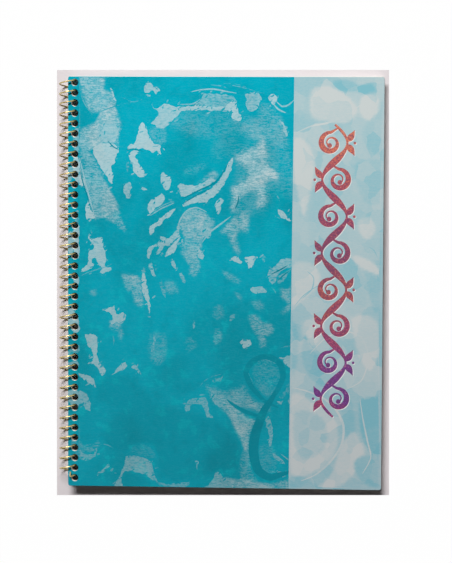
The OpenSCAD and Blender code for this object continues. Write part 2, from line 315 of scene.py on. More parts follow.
# Soft patches of the pale band, as the fields above: low ink shows more teal through the veil
BAND: tuple[Field, ...] = (
    (.15, .9, 163, 3, 172, 2, 180, 5, 186, 4, 189, 8, 184, 11, 180, 10, 176, 9, 170, 9, 165, 8),
    (.92, .9, 181, 12, 187, 10, 191, 14, 190, 22, 186, 26, 182, 25, 179, 20),
    (.95, .9, 150, 8, 160, 6, 172, 12, 178, 20, 172, 28, 160, 27, 150, 24),
    (.35, .9, 186, 26, 195, 20, 195, 44, 189, 47, 182, 40, 182, 31),
    (.95, .9, 140, 38, 149, 42, 152, 54, 150, 68, 146, 85, 143.5, 78, 140, 60),
    (.40, .9, 153, 62, 160, 60, 163, 70, 160, 82, 155, 95, 150, 104, 149, 88, 150, 74),
    (.32, .9, 178, 52, 190, 50, 195, 56, 195, 74, 186, 78, 180, 70, 177, 60),
    (.90, .9, 179, 88, 186, 86, 190, 93, 186, 99, 181, 97),
    (.40, .9, 158, 108, 166, 104, 176, 112, 184, 126, 184, 140, 176, 146, 168, 138, 161, 124),
    (.92, .9, 139, 116, 146, 113, 153, 116, 156, 124, 152, 131, 145, 137, 139, 140),
    (.30, .9, 184, 118, 195, 112, 195, 140, 190, 144, 186, 132),
    (.95, .9, 176, 109, 186, 112, 192, 117, 193, 121, 186, 119, 179, 115),
    (.88, .9, 145, 152, 150, 148, 157, 149, 159, 154, 156, 162, 150, 166, 146, 161),
    (.25, .9, 147, 158, 152, 168, 160, 174, 163, 184, 158, 190, 150, 184, 145, 172),
    (.92, .9, 176, 148, 186, 146, 192, 152, 192, 170, 187, 180, 180, 170, 177, 158),
    (.30, .9, 163, 196, 170, 193, 176, 200, 178, 214, 176, 230, 171, 226, 171, 212, 168, 203),
    (.10, .9, 181, 199, 188, 196, 195, 198, 195, 232, 188, 232, 183, 222, 181, 210),
    (.88, .9, 139, 196, 150, 198, 160, 204, 167, 214, 167, 228, 160, 240, 150, 245, 139, 244),
    (.55, .9, 142, 206, 152, 206, 160, 213, 161, 224, 155, 233, 146, 235, 141, 226, 140, 214),
    (.95, .9, 170, 226, 177, 218, 181, 222, 184, 232, 181, 240, 172, 250, 162, 255, 154, 255, 164, 244),
    (.18, .9, 178, 236, 186, 232, 195, 236, 195, 252, 184, 250, 179, 244),
    (.20, .9, 139, 246, 150, 248, 156, 255, 139, 256),
    (.25, .9, 139, 150, 143, 158, 142, 176, 139, 184),
)

BAND_STROKES: tuple[Field, ...] = (
    (.10, .5, 140, 141, 146, 134, 153, 129, 160, 126),
    (.98, 1.4, 139, 191, 148, 193, 158, 197, 166, 204, 171, 214, 170, 226, 163, 237, 154, 245, 145, 249),
    (.86, 1.0, 181, 197, 183, 210, 186, 224, 188, 234, 183, 244),
    (.98, 1.2, 141, 34, 150, 30, 160, 28, 170, 24, 180, 17),
    (.15, .7, 148, 119, 152, 123, 151, 130, 145, 136),
    (.98, 1.0, 150, 170, 160, 160, 172, 156, 182, 160, 186, 172, 182, 186, 172, 192),
    (.20, .6, 186, 104, 189, 106, 191, 110),
)


def pairs(values: Sequence[float]) -> Loop:
    """Splits x, y, x, y, ... into points."""
    return list(zip(values[0::2], values[1::2]))


def rounded(points: Loop, closed: bool, step: float, bend: float = 0.42) -> Loop:
    """Runs a gently bent line through points, with new ones no further apart than a step.

    Args:
        points: The points to pass through.
        closed: True for a loop.
        step: Greatest distance between two points of the result.
        bend: 0 keeps the lines straight, 0.5 bends them fully.

    Returns:
        The points of the line, without the first one repeated.
    """
    count = len(points)
    spans = count if closed else count - 1

    def at(index: int) -> Vector:
        """A point, past the ends of the list too."""
        place = index % count if closed else min(max(index, 0), count - 1)
        return Vector(points[place])

    line: Loop = []
    for i in range(spans):
        before, start, end, after = at(i - 1), at(i), at(i + 1), at(i + 2)
        lead, trail = (end - before) * bend, (after - start) * bend
        length = (end - start).length
        limit = length * 1.2
        lead = lead if lead.length < limit else lead.normalized() * limit
        trail = trail if trail.length < limit else trail.normalized() * limit
        pieces = max(1, math.ceil(length / step))
        for k in range(pieces):
            t = k / pieces
            t2, t3 = t * t, t * t * t
            spot = (start * (2 * t3 - 3 * t2 + 1) + lead * (t3 - 2 * t2 + t)
                    + end * (3 * t2 - 2 * t3) + trail * (t3 - t2))
            line.append((spot.x, spot.y))
    if not closed:
        line.append(tuple(points[-1]))
    return line


def lattice_noise(x: float, y: float, salt: int) -> float:
    """A smooth noise of -1 to 1, from whole-number sums so that it is the same on every run.

    Args:
        x: Place along X, in cells of the noise.
        y: Place along Y.
        salt: Tells one noise from another.

    Returns:
        The noise at the place.
    """
    left, low = math.floor(x), math.floor(y)
    across, up = (t * t * (3 - 2 * t) for t in (x - left, y - low))

    def corner(i: int, j: int) -> float:
        """The noise at a corner of the place's cell.

        Args:
            i: 0 for the left, 1 for the right.
            j: 0 for the lower, 1 for the upper.

        Returns:
            The noise, -1 to 1.
        """
        mixed = ((left + i) * SCATTER[0] + (low + j) * SCATTER[1] + salt * SCATTER[2]) & BITS
        mixed = ((mixed ^ mixed >> 13) * SCATTER[3]) & BITS
        return (mixed ^ mixed >> 16) / (BITS // 2) - 1

    lower = corner(0, 0) * (1 - across) + corner(1, 0) * across
    upper = corner(0, 1) * (1 - across) + corner(1, 1) * across
    return lower * (1 - up) + upper * up


def ragged(points: Loop, amount: float, grain: float) -> Loop:
    """Shakes points by a fixed noise of their place, so that painted edges aren't smooth.

    Args:
        points: The points to move.
        amount: Greatest move, roughly.
        grain: Distance over which the noise changes.

    Returns:
        The moved points.
    """
    finer, fine_share = 2.7, 0.55

    def shift(x: float, y: float, salt: int) -> float:
        """How far a place moves along one axis."""
        fine = lattice_noise(x / grain * finer, y / grain * finer, salt + 9)
        return (lattice_noise(x / grain, y / grain, salt) + fine_share * fine) * amount

    return [(x + shift(x, y, 1), y + shift(x, y, 2)) for x, y in points]


def stroke(points: Loop, width: Callable[[float], float]) -> list[Loop]:
    """Turns a line into short four-sided pieces of varying width.

    Args:
        points: The line's points.
        width: Full width at a share of the length, 0 at the start and 1 at the end.

    Returns:
        One loop for each piece.
    """
    vectors = [Vector(p) for p in points]
    lengths = [0.0]
    for a, b in zip(vectors, vectors[1:]):
        lengths.append(lengths[-1] + (b - a).length)
    sides = []
    for i, spot in enumerate(vectors):
        along = (vectors[min(i + 1, len(vectors) - 1)] - vectors[max(i - 1, 0)]).normalized()
        across = Vector((-along.y, along.x)) * width(lengths[i] / lengths[-1]) / 2
        sides.append((spot + across, spot - across))
    return [[tuple(a[0]), tuple(a[1]), tuple(b[1]), tuple(b[0])] for a, b in zip(sides, sides[1:])]


def tapered(full: float) -> Callable[[float], float]:
    """Width of a brush stroke that thins out at both ends."""
    return lambda t: full * (0.15 + 0.85 * math.sin(math.pi * min(max(t, 0), 1)) ** 0.6)


def ring(centre: Point, radius: float, sides: int) -> Loop:
    """A round hole's outline."""
    return [(centre[0] + radius * math.cos(math.tau * k / sides),
             centre[1] + radius * math.sin(math.tau * k / sides)) for k in range(sides)]


def leaf(x: float, y: float, wide: float, high: float, corner: float, steps: int = 8) -> Loop:
    """A rectangle with round corners.

    Args:
        x: Left side.
        y: Lower side.
        wide: Size along X.
        high: Size along Y.
        corner: Radius of the corners.
        steps: Straight lengths in each corner.

    Returns:
        Its outline, counter-clockwise.
    """
    loop = []
    for quarter, (cx, cy) in enumerate(((x + wide - corner, y + high - corner), (x + corner, y + high - corner),
                                        (x + corner, y + corner), (x + wide - corner, y + corner))):
        for k in range(steps + 1):
            angle = math.pi / 2 * (quarter + k / steps)
            loop.append((cx + corner * math.cos(angle), cy + corner * math.sin(angle)))
    return loop


def washed(places: np.ndarray, fields: Iterable[tuple[float, float, Loop]], base: float) -> np.ndarray:
    """Lays fields with soft edges over each other.

    Args:
        places: The places to look at, one row each.
        fields: Ink, half width of the soft edge and outline of each field, the last on top.
        base: Ink where no field lies.

    Returns:
        The ink at every place.
    """
    ink = np.full(len(places), base)
    for value, soft, outline in fields:
        loop = np.array(outline)
        run = np.roll(loop, -1, axis=0) - loop
        near = np.all((places > loop.min(0) - soft) & (places < loop.max(0) + soft), axis=1)
        spots = places[near]
        gap = spots[:, None, :] - loop[None]
        along = np.clip((gap * run).sum(2) / np.maximum((run * run).sum(1), 1e-9), 0, 1)
        depth = np.linalg.norm(gap - along[..., None] * run, axis=2).min(1)
        rise = np.where(np.abs(run[:, 1]) < 1e-9, 1e-9, run[:, 1])
        level = gap[..., 1] / rise
        crossed = (level >= 0) & (level < 1) & (gap[..., 0] < level * run[:, 0])
        depth = np.where(crossed.sum(1) % 2 == 1, depth, -depth)
        full = np.clip(depth / (2 * soft) + 0.5, 0, 1)
        ink[near] += (value - ink[near]) * full * full * (3 - 2 * full)
    return ink


def counter_clockwise(loop: Loop) -> Loop:
    """The same loop, turned round if it runs clockwise."""
    area = sum(a[0] * b[1] - b[0] * a[1] for a, b in zip(loop, loop[1:] + loop[:1]))
    return loop if area > 0 else loop[::-1]


def placed(name: str, mesh: bpy.types.Mesh) -> bpy.types.Object:
    """Puts a mesh into the scene, as an object at the origin.

    Args:
        name: The object's name.
        mesh: Its mesh.

    Returns:
        The new object.
    """
    piece = bpy.data.objects.new(name, mesh)
    bpy.context.scene.collection.objects.link(piece)
    return piece


@dataclass
class Cut:
    """A flat region cut into triangles along every outline that is laid on it, and at loose points between."""

    outlines: list[Loop]
    loose: Loop = field(default_factory=list)
    spots: list[Vector] = field(default_factory=list)
    faces: list[tuple[int, ...]] = field(default_factory=list)
    owners: list[list[int]] = field(default_factory=list)

    def make(self, near: float = 1e-4) -> "Cut":
        """Cuts the region.

        Args:
            near: Points closer than this become one.

        Returns:
            This cut, with its triangles, and for each the numbers of the outlines that it lies in.
        """
        points: list[Vector] = []
        loops: list[list[int]] = []
        for outline in self.outlines:
            start = len(points)
            points += [Vector(p) for p in counter_clockwise(list(outline))]
            loops.append(list(range(start, len(points))))
        points += [Vector(p) for p in self.loose]
        spots, _, faces, _, _, owners = delaunay_2d_cdt(points, [], loops, 1, near)
        self.spots, self.faces = list(spots), [tuple(f) for f in faces]
        # A sliver that closes on itself would be given the whole card, so none owns more than its own bounds
        bounds = [(min(x), max(x), min(y), max(y)) for x, y in (zip(*outline) for outline in self.outlines)]
        for face, held in zip(self.faces, owners):
            middle = (self.spots[face[0]] + self.spots[face[1]] + self.spots[face[2]]) / 3
            self.owners.append([o for o in held if bounds[o][0] <= middle.x <= bounds[o][1]
                                and bounds[o][2] <= middle.y <= bounds[o][3]])
        return self


@dataclass
class Plate:
    """A flat solid over some triangles of a cut, with a fine chamfer and a sunk groove where it has one."""

    cut: Cut
    kept: dict[int, int]
    outer_z: float
    thick: float
    chamfer: float
    sunk: float = 0.0
    downward: bool = False

    def _edges(self) -> dict[tuple[int, int], int]:
        """The sides of the kept triangles, each with its triangle."""
        return {(a, b): index for index in self.kept
                for a, b in zip(self.cut.faces[index], self.cut.faces[index][1:] + self.cut.faces[index][:1])}

    def _rims(self, edges: dict[tuple[int, int], int]) -> dict[int, Vector]:
        """The way out, as long as the chamfer is wide, at every point of the plate's edges.

        Args:
            edges: The sides of the kept triangles.

        Returns:
            The way out at each point of the cut that is on an edge.
        """
        out: dict[int, Vector] = {}
        for a, b in edges:
            if (b, a) not in edges:
                run = self.cut.spots[b] - self.cut.spots[a]
                normal = Vector((run.y, -run.x)).normalized()
                out[a] = out.get(a, Vector((0, 0))) + normal
                out[b] = out.get(b, Vector((0, 0))) + normal
        return {v: n.normalized() * self.chamfer for v, n in out.items()}

    def build(self, name: str, ink: Callable[[int], tuple[float, float]] | None = None,
              tones: dict[str, np.ndarray] | None = None) -> bpy.types.Object:
        """Makes the plate's mesh. Slot 0 is the outer face, 1 the edges and the inner face.

        Args:
            name: The object's name.
            ink: Gives a triangle's ink and veil, which are kept as attributes of the faces.
            tones: Values for every point of the cut, kept as attributes of the mesh's points.

        Returns:
            The new object.
        """
        edges = self._edges()
        rims = self._rims(edges)
        depth = {"top0": 0.0, "top1": self.sunk, "rim0": self.chamfer, "rim1": self.sunk + self.chamfer,
                 "low_rim": self.thick - self.chamfer, "low": self.thick}
        sense = 1 if self.downward else -1
        verts: list[Vector] = []
        origins: list[int] = []
        known: dict[tuple[int, str], int] = {}

        def vert(spot: int, level: str) -> int:
            """Number of the mesh point over a point of the cut, made when first asked for.

            Args:
                spot: The point of the cut.
                level: Which height, of those in depth.

            Returns:
                The number.
            """
            key = (spot, level)
            if key not in known:
                flat = self.cut.spots[spot].copy()
                if "rim" in level:
                    flat += rims[spot]
                known[key] = len(verts)
                origins.append(spot)
                verts.append(Vector((flat.x, flat.y, self.outer_z + sense * depth[level])) * MM)
            return known[key]

        faces: list[list[int]] = []
        slots: list[int] = []
        inks: list[tuple[float, float]] = []

        def add(corners: list[int], slot: int, value: tuple[float, float] = (0.0, 0.0)) -> None:
            """One face of the mesh.

            Args:
                corners: Its mesh points.
                slot: Its material slot.
                value: Its ink and veil.
            """
            faces.append(corners[::-1] if self.downward else corners)
            slots.append(slot)
            inks.append(value)

        levels: dict[int, set[int]] = {}
        for (a, b), index in edges.items():
            levels.setdefault(a, set()).add(self.kept[index])
        for index, level in self.kept.items():
            face = self.cut.faces[index]
            value = ink(index) if ink else (0.0, 0.0)
            add([vert(v, f"top{level}") for v in face], 0, value)
            add([vert(v, "low") for v in face[::-1]], 1)
        for (a, b), index in edges.items():
            level, value = self.kept[index], (ink(index) if ink else (0.0, 0.0))
            other = edges.get((b, a))
            top, rim = f"top{level}", f"rim{level}"
            if other is None and self.chamfer == 0:
                add([vert(b, top), vert(a, top), vert(a, "low"), vert(b, "low")], 1)
            elif other is None:
                add([vert(b, top), vert(a, top), vert(a, rim), vert(b, rim)], 0, value)
                wall = [vert(b, rim), vert(a, rim)]
                if level == 0 and len(levels[a]) > 1:
                    wall.append(vert(a, "rim1"))
                wall += [vert(a, "low_rim"), vert(b, "low_rim")]
                if level == 0 and len(levels[b]) > 1:
                    wall.append(vert(b, "rim1"))
                add(wall, 1)
                add([vert(b, "low_rim"), vert(a, "low_rim"), vert(a, "low"), vert(b, "low")], 1)
            elif level == 0 and self.kept[other] == 1:
                add([vert(b, "top0"), vert(a, "top0"), vert(a, "top1"), vert(b, "top1")], 0, value)
                if b in rims:
                    add([vert(b, "top0"), vert(b, "top1"), vert(b, "rim1"), vert(b, "rim0")], 1)
                if a in rims:
                    add([vert(a, "top1"), vert(a, "top0"), vert(a, "rim0"), vert(a, "rim1")], 1)
        mesh = bpy.data.meshes.new(name)
        mesh.from_pydata(verts, [], faces)
        mesh.polygons.foreach_set("material_index", slots)
        if ink:
            for place, label in enumerate(("ink", "veil")):
                layer = mesh.attributes.new(label, "FLOAT", "FACE")
                layer.data.foreach_set("value", [value[place] for value in inks])
        for label, values in (tones or {}).items():
            layer = mesh.attributes.new(label, "FLOAT", "POINT")
            layer.data.foreach_set("value", values[origins].astype(np.float32))
        mesh.update()
        return placed(name, mesh)


@dataclass(frozen=True)
class Speckle:
    """A noise of a finish: how fine and rough it is, and how it is stretched along each axis."""

    scale: float
    detail: float = 2.0
    roughness: float = 0.5
    stretch: Triple = (1, 1, 1)


class Graph:
    """Short calls for the nodes of one material or world."""

    def __init__(self, owner: bpy.types.Material | bpy.types.World) -> None:
        """Empties the owner's node tree.

        Args:
            owner: The material or world whose nodes are made.
        """
        owner.use_nodes = True
        self.tree = owner.node_tree
        self.tree.nodes.clear()

    def feed(self, target: Socket, value: object) -> None:
        """Gives an input a value, or links a socket to it.

        Args:
            target: The input.
            value: A number, a colour, a vector or a socket.
        """
        if isinstance(value, Socket):
            self.tree.links.new(value, target)
        elif isinstance(value, tuple) and len(value) == 3 and target.type == "RGBA":
            target.default_value = (*value, 1.0)
        else:
            target.default_value = value

    def node(self, kind: str, **settings: object) -> bpy.types.Node:
        """Makes a node. Inputs are set by their names, with spaces written as _, other names are settings.

        Args:
            kind: The node's type without its leading "ShaderNode".
            settings: Values or sockets for inputs, and values for settings.

        Returns:
            The new node.
        """
        made = self.tree.nodes.new("ShaderNode" + kind)
        for key, value in settings.items():
            label = key.replace("_", " ")
            target = next((s for s in made.inputs if s.name == label and s.enabled), None)
            if target is None:
                setattr(made, key, value)
            else:
                self.feed(target, value)
        return made

    def math(self, operation: str, *values: object) -> Socket:
        """One Math node on numbers or sockets.

        Args:
            operation: What it does.
            values: What it takes.

        Returns:
            The result's socket.
        """
        made = self.node("Math", operation=operation)
        for slot, value in zip(made.inputs, values):
            self.feed(slot, value)
        return made.outputs[0]

    def product(self, *values: object) -> Socket:
        """Multiplies numbers or sockets, from the first on.

        Args:
            values: The factors.

        Returns:
            The product's socket.
        """
        total = values[0]
        for value in values[1:]:
            total = self.math("MULTIPLY", total, value)
        return total

    def unit(self, value: Socket) -> Socket:
        """Cuts a value off below 0 and above 1."""
        return self.math("MINIMUM", self.math("MAXIMUM", value, 0.0), 1.0)

    def choose(self, share: object, first: object, second: object) -> Socket:
        """Goes from the first value to the second as the share goes from 0 to 1."""
        return self.node("Mix", Factor=share, A=first, B=second).outputs[0]

    def place(self, scale: Triple = (1, 1, 1)) -> Socket:
        """Object coordinates, stretched along each axis."""
        coords = self.node("TexCoord").outputs["Object"]
        return self.node("Mapping", Vector=coords, Scale=scale).outputs[0]

    def parted(self, vector: Socket) -> bpy.types.bpy_prop_collection:
        """X, Y and Z of a vector."""
        return self.node("SeparateXYZ", Vector=vector).outputs

    def noise(self, kind: Speckle, where: Socket | None = None) -> Socket:
        """A noise of about 0 to 1 with its middle at 0.5.

        Args:
            kind: Its fineness, roughness and stretch.
            where: The place to look at, or None for Object coordinates.

        Returns:
            The noise's socket.
        """
        spot = self.place(kind.stretch) if where is None else where
        return self.node("TexNoise", Vector=spot, Scale=kind.scale, Detail=kind.detail,
                         Roughness=kind.roughness).outputs[0]

    def bent(self, scale: float, reach: float) -> Socket:
        """Object coordinates, pushed about by a noise of some metres' reach.

        Args:
            scale: How fine the noise is.
            reach: How far it pushes, in metres.

        Returns:
            The pushed place's socket.
        """
        push = self.node("TexNoise", Vector=self.place(), Scale=scale, Detail=2.0).outputs["Color"]
        made = self.node("VectorMath", operation="MULTIPLY_ADD")
        for slot, value in zip(made.inputs, (push, (reach, reach, reach), self.place())):
            self.feed(slot, value)
        return made.outputs[0]

    def sum(self, *terms: tuple[Socket, float]) -> Socket:
        """Adds values of about 0 to 1, each less 0.5 and times its weight.

        Args:
            terms: Each value with its weight.

        Returns:
            The sum's socket, which is about 0 in the middle.
        """
        total = None
        for value, weight in terms:
            part = self.math("MULTIPLY_ADD", value, weight, -0.5 * weight)
            total = part if total is None else self.math("ADD", total, part)
        return total

    def span(self, value: Socket, low: float, high: float, to_low: float = 0.0,
             to_high: float = 1.0) -> Socket:
        """Takes a value from one range to another, clamped, with soft ends.

        Args:
            value: The value.
            low: Start of its range.
            high: End of its range.
            to_low: What the start becomes.
            to_high: What the end becomes.

        Returns:
            The new value's socket.
        """
        made = self.node("MapRange", interpolation_type="SMOOTHSTEP", Value=value, From_Min=low, From_Max=high,
                         To_Min=to_low, To_Max=to_high)
        return made.outputs[0]

    def mix(self, share: object, first: object, second: object, blend: str = "MIX") -> Socket:
        """Mixes two colours.

        Args:
            share: Share of the second, a number or a socket.
            first: A colour or a socket.
            second: A colour or a socket.
            blend: The kind of mix.

        Returns:
            The mixed colour's socket.
        """
        made = self.node("Mix", data_type="RGBA", blend_type=blend)
        for slot, value in ((made.inputs[0], share), (made.inputs[6], first), (made.inputs[7], second)):
            self.feed(slot, value)
        return made.outputs[2]

    def bump(self, height: Socket, strength: float, distance: float) -> Socket:
        """A bump of some millimetres in height."""
        return self.node("Bump", Height=height, Strength=strength, Distance=distance * MM).outputs[0]

    def surface(self, **settings: object) -> None:
        """Ends the material in one Principled shader with these inputs."""
        self.end("OutputMaterial", self.node("BsdfPrincipled", **settings))

    def end(self, kind: str, shader: bpy.types.Node) -> None:
        """Links the last shader to the output of the material or world."""
        self.tree.links.new(shader.outputs[0], self.node(kind).inputs[0])


@dataclass(frozen=True)
class Finish:
    """A procedural finish, which is made as one material."""

    label: ClassVar[str]

    def wire(self, g: Graph) -> None:
        """Makes and joins the material's nodes."""
        raise NotImplementedError

    def make(self) -> bpy.types.Material:
        """Builds the material.

        Returns:
            The new material.
        """
        material = bpy.data.materials.new(self.label)
        self.wire(Graph(material))
        return material


@dataclass(frozen=True)
class MarbledPrint(Finish):
    """Satin print on card: teal, pale patches, dry brush work and a veiled band, from the faces' attributes, with
    painted shade that darkens it towards the foot.
    """

    label: ClassVar[str] = "marbled_print"
    teal: Colour = srgb(0, 173, 195)
    deep: Colour = srgb(0, 155, 174)
    dark: Colour = srgb(0, 112, 130)
    light: Colour = srgb(97, 203, 219)
    bright: Colour = srgb(12, 204, 213)
    pale: Colour = srgb(194, 219, 223)
    warm: Colour = srgb(212, 222, 222)
    veil_teal: Colour = srgb(131, 191, 203)
    veil_pale: Colour = srgb(205, 213, 212)
    # Painted shade: the marbling and the band darken towards the foot, as the light falls off
    painted_foot_shade: Colour = srgb(32, 88, 96)
    painted_foot_shade_share: float = 0.34
    painted_foot_veil_shade: Colour = (0.85, 0.84, 0.86)
    half_high: float = 127.0
    # Brush hairs, dried blots, small flecks and broad patches of the paint, then the ground's clouds and swirls
    streaks: Speckle = Speckle(1500, 2, 0.6, (0.25, 1, 1))
    blots: Speckle = Speckle(1400, 3, 0.7, (0.7, 1, 1))
    flecks: Speckle = Speckle(1000, 3, 0.65, (0.4, 1, 1))
    patches: Speckle = Speckle(75, 3, 0.55)
    clouds: Speckle = Speckle(22, 2, 0.5, (1, 0.7, 1))
    swirls: Speckle = Speckle(105, 4, 0.62)
    swirl_bend: tuple[float, float] = (26, 0.02)
    shard_scale: float = 95.0
    shard_bend: tuple[float, float] = (90, 0.008)
    tooth: Speckle = Speckle(2600, 3, 0.6)
    wash_power: float = 1.75
    wash_cover: float = 0.88
    solid_cover: float = 0.92
    wear_limit: float = 1.45
    swirl_lift: float = 0.42
    swirl_least: float = 0.1
    swirl_sink: float = 0.14
    darkening: float = -1.6

    def _cover(self, g: Graph, ink: Socket, wash: Socket, crisp: Socket, grain: Socket, flecks: Socket,
               patches: Socket) -> Socket:
        """How much pale paint covers the ground.

        Args:
            g: The material's nodes.
            ink: Ink of the sharp field that lies here.
            wash: Ink of the soft washes, which show where there is no sharp field.
            crisp: 1 where there is a sharp field.
            grain: Brush hairs and blots.
            flecks: Small flecks.
            patches: Broad patches.

        Returns:
            The cover, 0 to 1.
        """
        # A wash wanders, and is most broken where it is half full
        paint = g.math("POWER", g.math("MAXIMUM", wash, 0.0), self.wash_power)
        broken = g.product(paint, g.math("SUBTRACT", 1.0, paint), 4.0)
        drift = g.sum((patches, 0.8), (flecks, 0.45), (grain, 0.5))
        brushed = g.math("MULTIPLY_ADD", drift, broken, g.product(paint, self.wash_cover))
        # A sharp field is worn, and the more so the thinner it is
        solid = g.product(g.math("MAXIMUM", ink, 0.0), self.solid_cover)
        worn = g.math("ADD", g.product(grain, 0.22), g.span(flecks, 0.4, 0.7, 0.0, 0.34))
        worn = g.math("ADD", worn, g.span(patches, 0.3, 0.7, 0.0, 0.3))
        solid = g.math("SUBTRACT", solid, g.product(worn, g.math("SUBTRACT", self.wear_limit, solid)))
        return g.unit(g.choose(crisp, brushed, solid))

    def _ground(self, g: Graph, under: Socket, grain: Socket, foot: Socket) -> Socket:
        """The teal that the pale paint lies on.

        Args:
            g: The material's nodes.
            under: Ink of whatever lies here, below 0 where it is darker.
            grain: Brush hairs and blots.
            foot: 0 at the head to 1 at the foot.

        Returns:
            Its colour.
        """
        ground = g.mix(g.span(g.noise(self.clouds), 0.35, 0.7), self.teal, self.deep)
        ground = g.mix(g.span(grain, 0.3, 1.0, 0.0, 0.07), ground, self.light)
        swirl = g.noise(self.swirls, g.bent(*self.swirl_bend))
        lifted = g.product(g.span(swirl, 0.53, 0.66), g.span(grain, 0.0, 1.0, 0.5, 1.0),
                           g.math("MULTIPLY_ADD", foot, self.swirl_lift, self.swirl_least))
        sunk = g.span(swirl, 0.33, 0.47, self.swirl_sink, 0.0)
        ground = g.mix(sunk, g.mix(lifted, ground, self.bright), self.dark)
        return g.mix(g.unit(g.product(under, self.darkening)), ground, self.dark)

    def _band(self, g: Graph, haze: Socket, grain: Socket, flecks: Socket, foot: Socket) -> Socket:
        """The band, which shows the marbling as flat patches through a pale veil, darkened towards the foot by painted
        shade.

        Args:
            g: The material's nodes.
            haze: Ink of whatever lies here.
            grain: Brush hairs and blots.
            flecks: Small flecks.
            foot: 0 at the head to 1 at the foot.

        Returns:
            Its colour.
        """
        cells = g.node("TexVoronoi", Vector=g.bent(*self.shard_bend), Scale=self.shard_scale).outputs["Color"]
        shard = g.node("SeparateColor", Color=cells).outputs[0]
        haze = g.math("ADD", haze, g.sum((flecks, 0.3), (grain, 0.1), (shard, 0.42)))
        soft = g.mix(g.unit(haze), self.veil_teal, self.veil_pale)
        # Painted shade: the band darkens towards the foot
        return g.mix(foot, soft, self.painted_foot_veil_shade, "MULTIPLY")

    def wire(self, g: Graph) -> None:
        """Lays the pale paint on the ground, and the veil over both.

        Args:
            g: The material's nodes.
        """
        ink, veil, wash, mist = (g.node("Attribute", attribute_name=n).outputs["Fac"]
                                 for n in ("ink", "veil", "wash", "mist"))
        streaks, blots, flecks, patches = (g.noise(n) for n in (self.streaks, self.blots, self.flecks, self.patches))
        half = self.half_high * MM
        foot = g.span(g.parted(g.place())["Y"], -half, half, 1.0, 0.0)
        grain = g.span(g.math("ADD", g.product(streaks, 0.5), g.product(blots, 0.5)), 0.39, 0.61)
        crisp = g.math("GREATER_THAN", ink, BARE / 2)
        cover = self._cover(g, ink, wash, crisp, grain, flecks, patches)
        ground = self._ground(g, g.choose(crisp, wash, ink), grain, foot)
        pale = g.mix(g.span(patches, 0.4, 0.65), self.pale, self.warm)
        # Painted shade: the marbling darkens towards the foot
        marbled = g.mix(g.product(foot, self.painted_foot_shade_share), g.mix(cover, ground, pale), self.painted_foot_shade)
        band = self._band(g, g.choose(crisp, mist, ink), grain, flecks, foot)
        tooth = g.noise(self.tooth)
        g.surface(Base_Color=g.mix(veil, marbled, band), Roughness=g.span(tooth, 0.2, 0.8, 0.42, 0.56),
                  Specular_IOR_Level=0.02, Normal=g.bump(tooth, 0.25, 0.03))


@dataclass(frozen=True)
class PlainCard(Finish):
    """The card's bare core, at its edges and inner face: off-white board with fine fibres."""

    label: ClassVar[str] = "plain_card"
    body: Colour = srgb(218, 215, 208)
    fleck: Colour = srgb(200, 195, 185)
    fibres: Speckle = Speckle(700, 4, 0.65, (1, 0.35, 1))
    clouds: Speckle = Speckle(40)

    def wire(self, g: Graph) -> None:
        """Flecks the board with its fibres.

        Args:
            g: The material's nodes.
        """
        fibres, clouds = g.noise(self.fibres), g.noise(self.clouds)
        share = g.math("ADD", g.span(fibres, 0.5, 0.75, 0.0, 0.7), g.span(clouds, 0.4, 0.8, 0.0, 0.3))
        g.surface(Base_Color=g.mix(share, self.body, self.fleck), Roughness=g.span(fibres, 0.2, 0.8, 0.7, 0.85),
                  Specular_IOR_Level=0.25, Normal=g.bump(fibres, 0.4, 0.03))


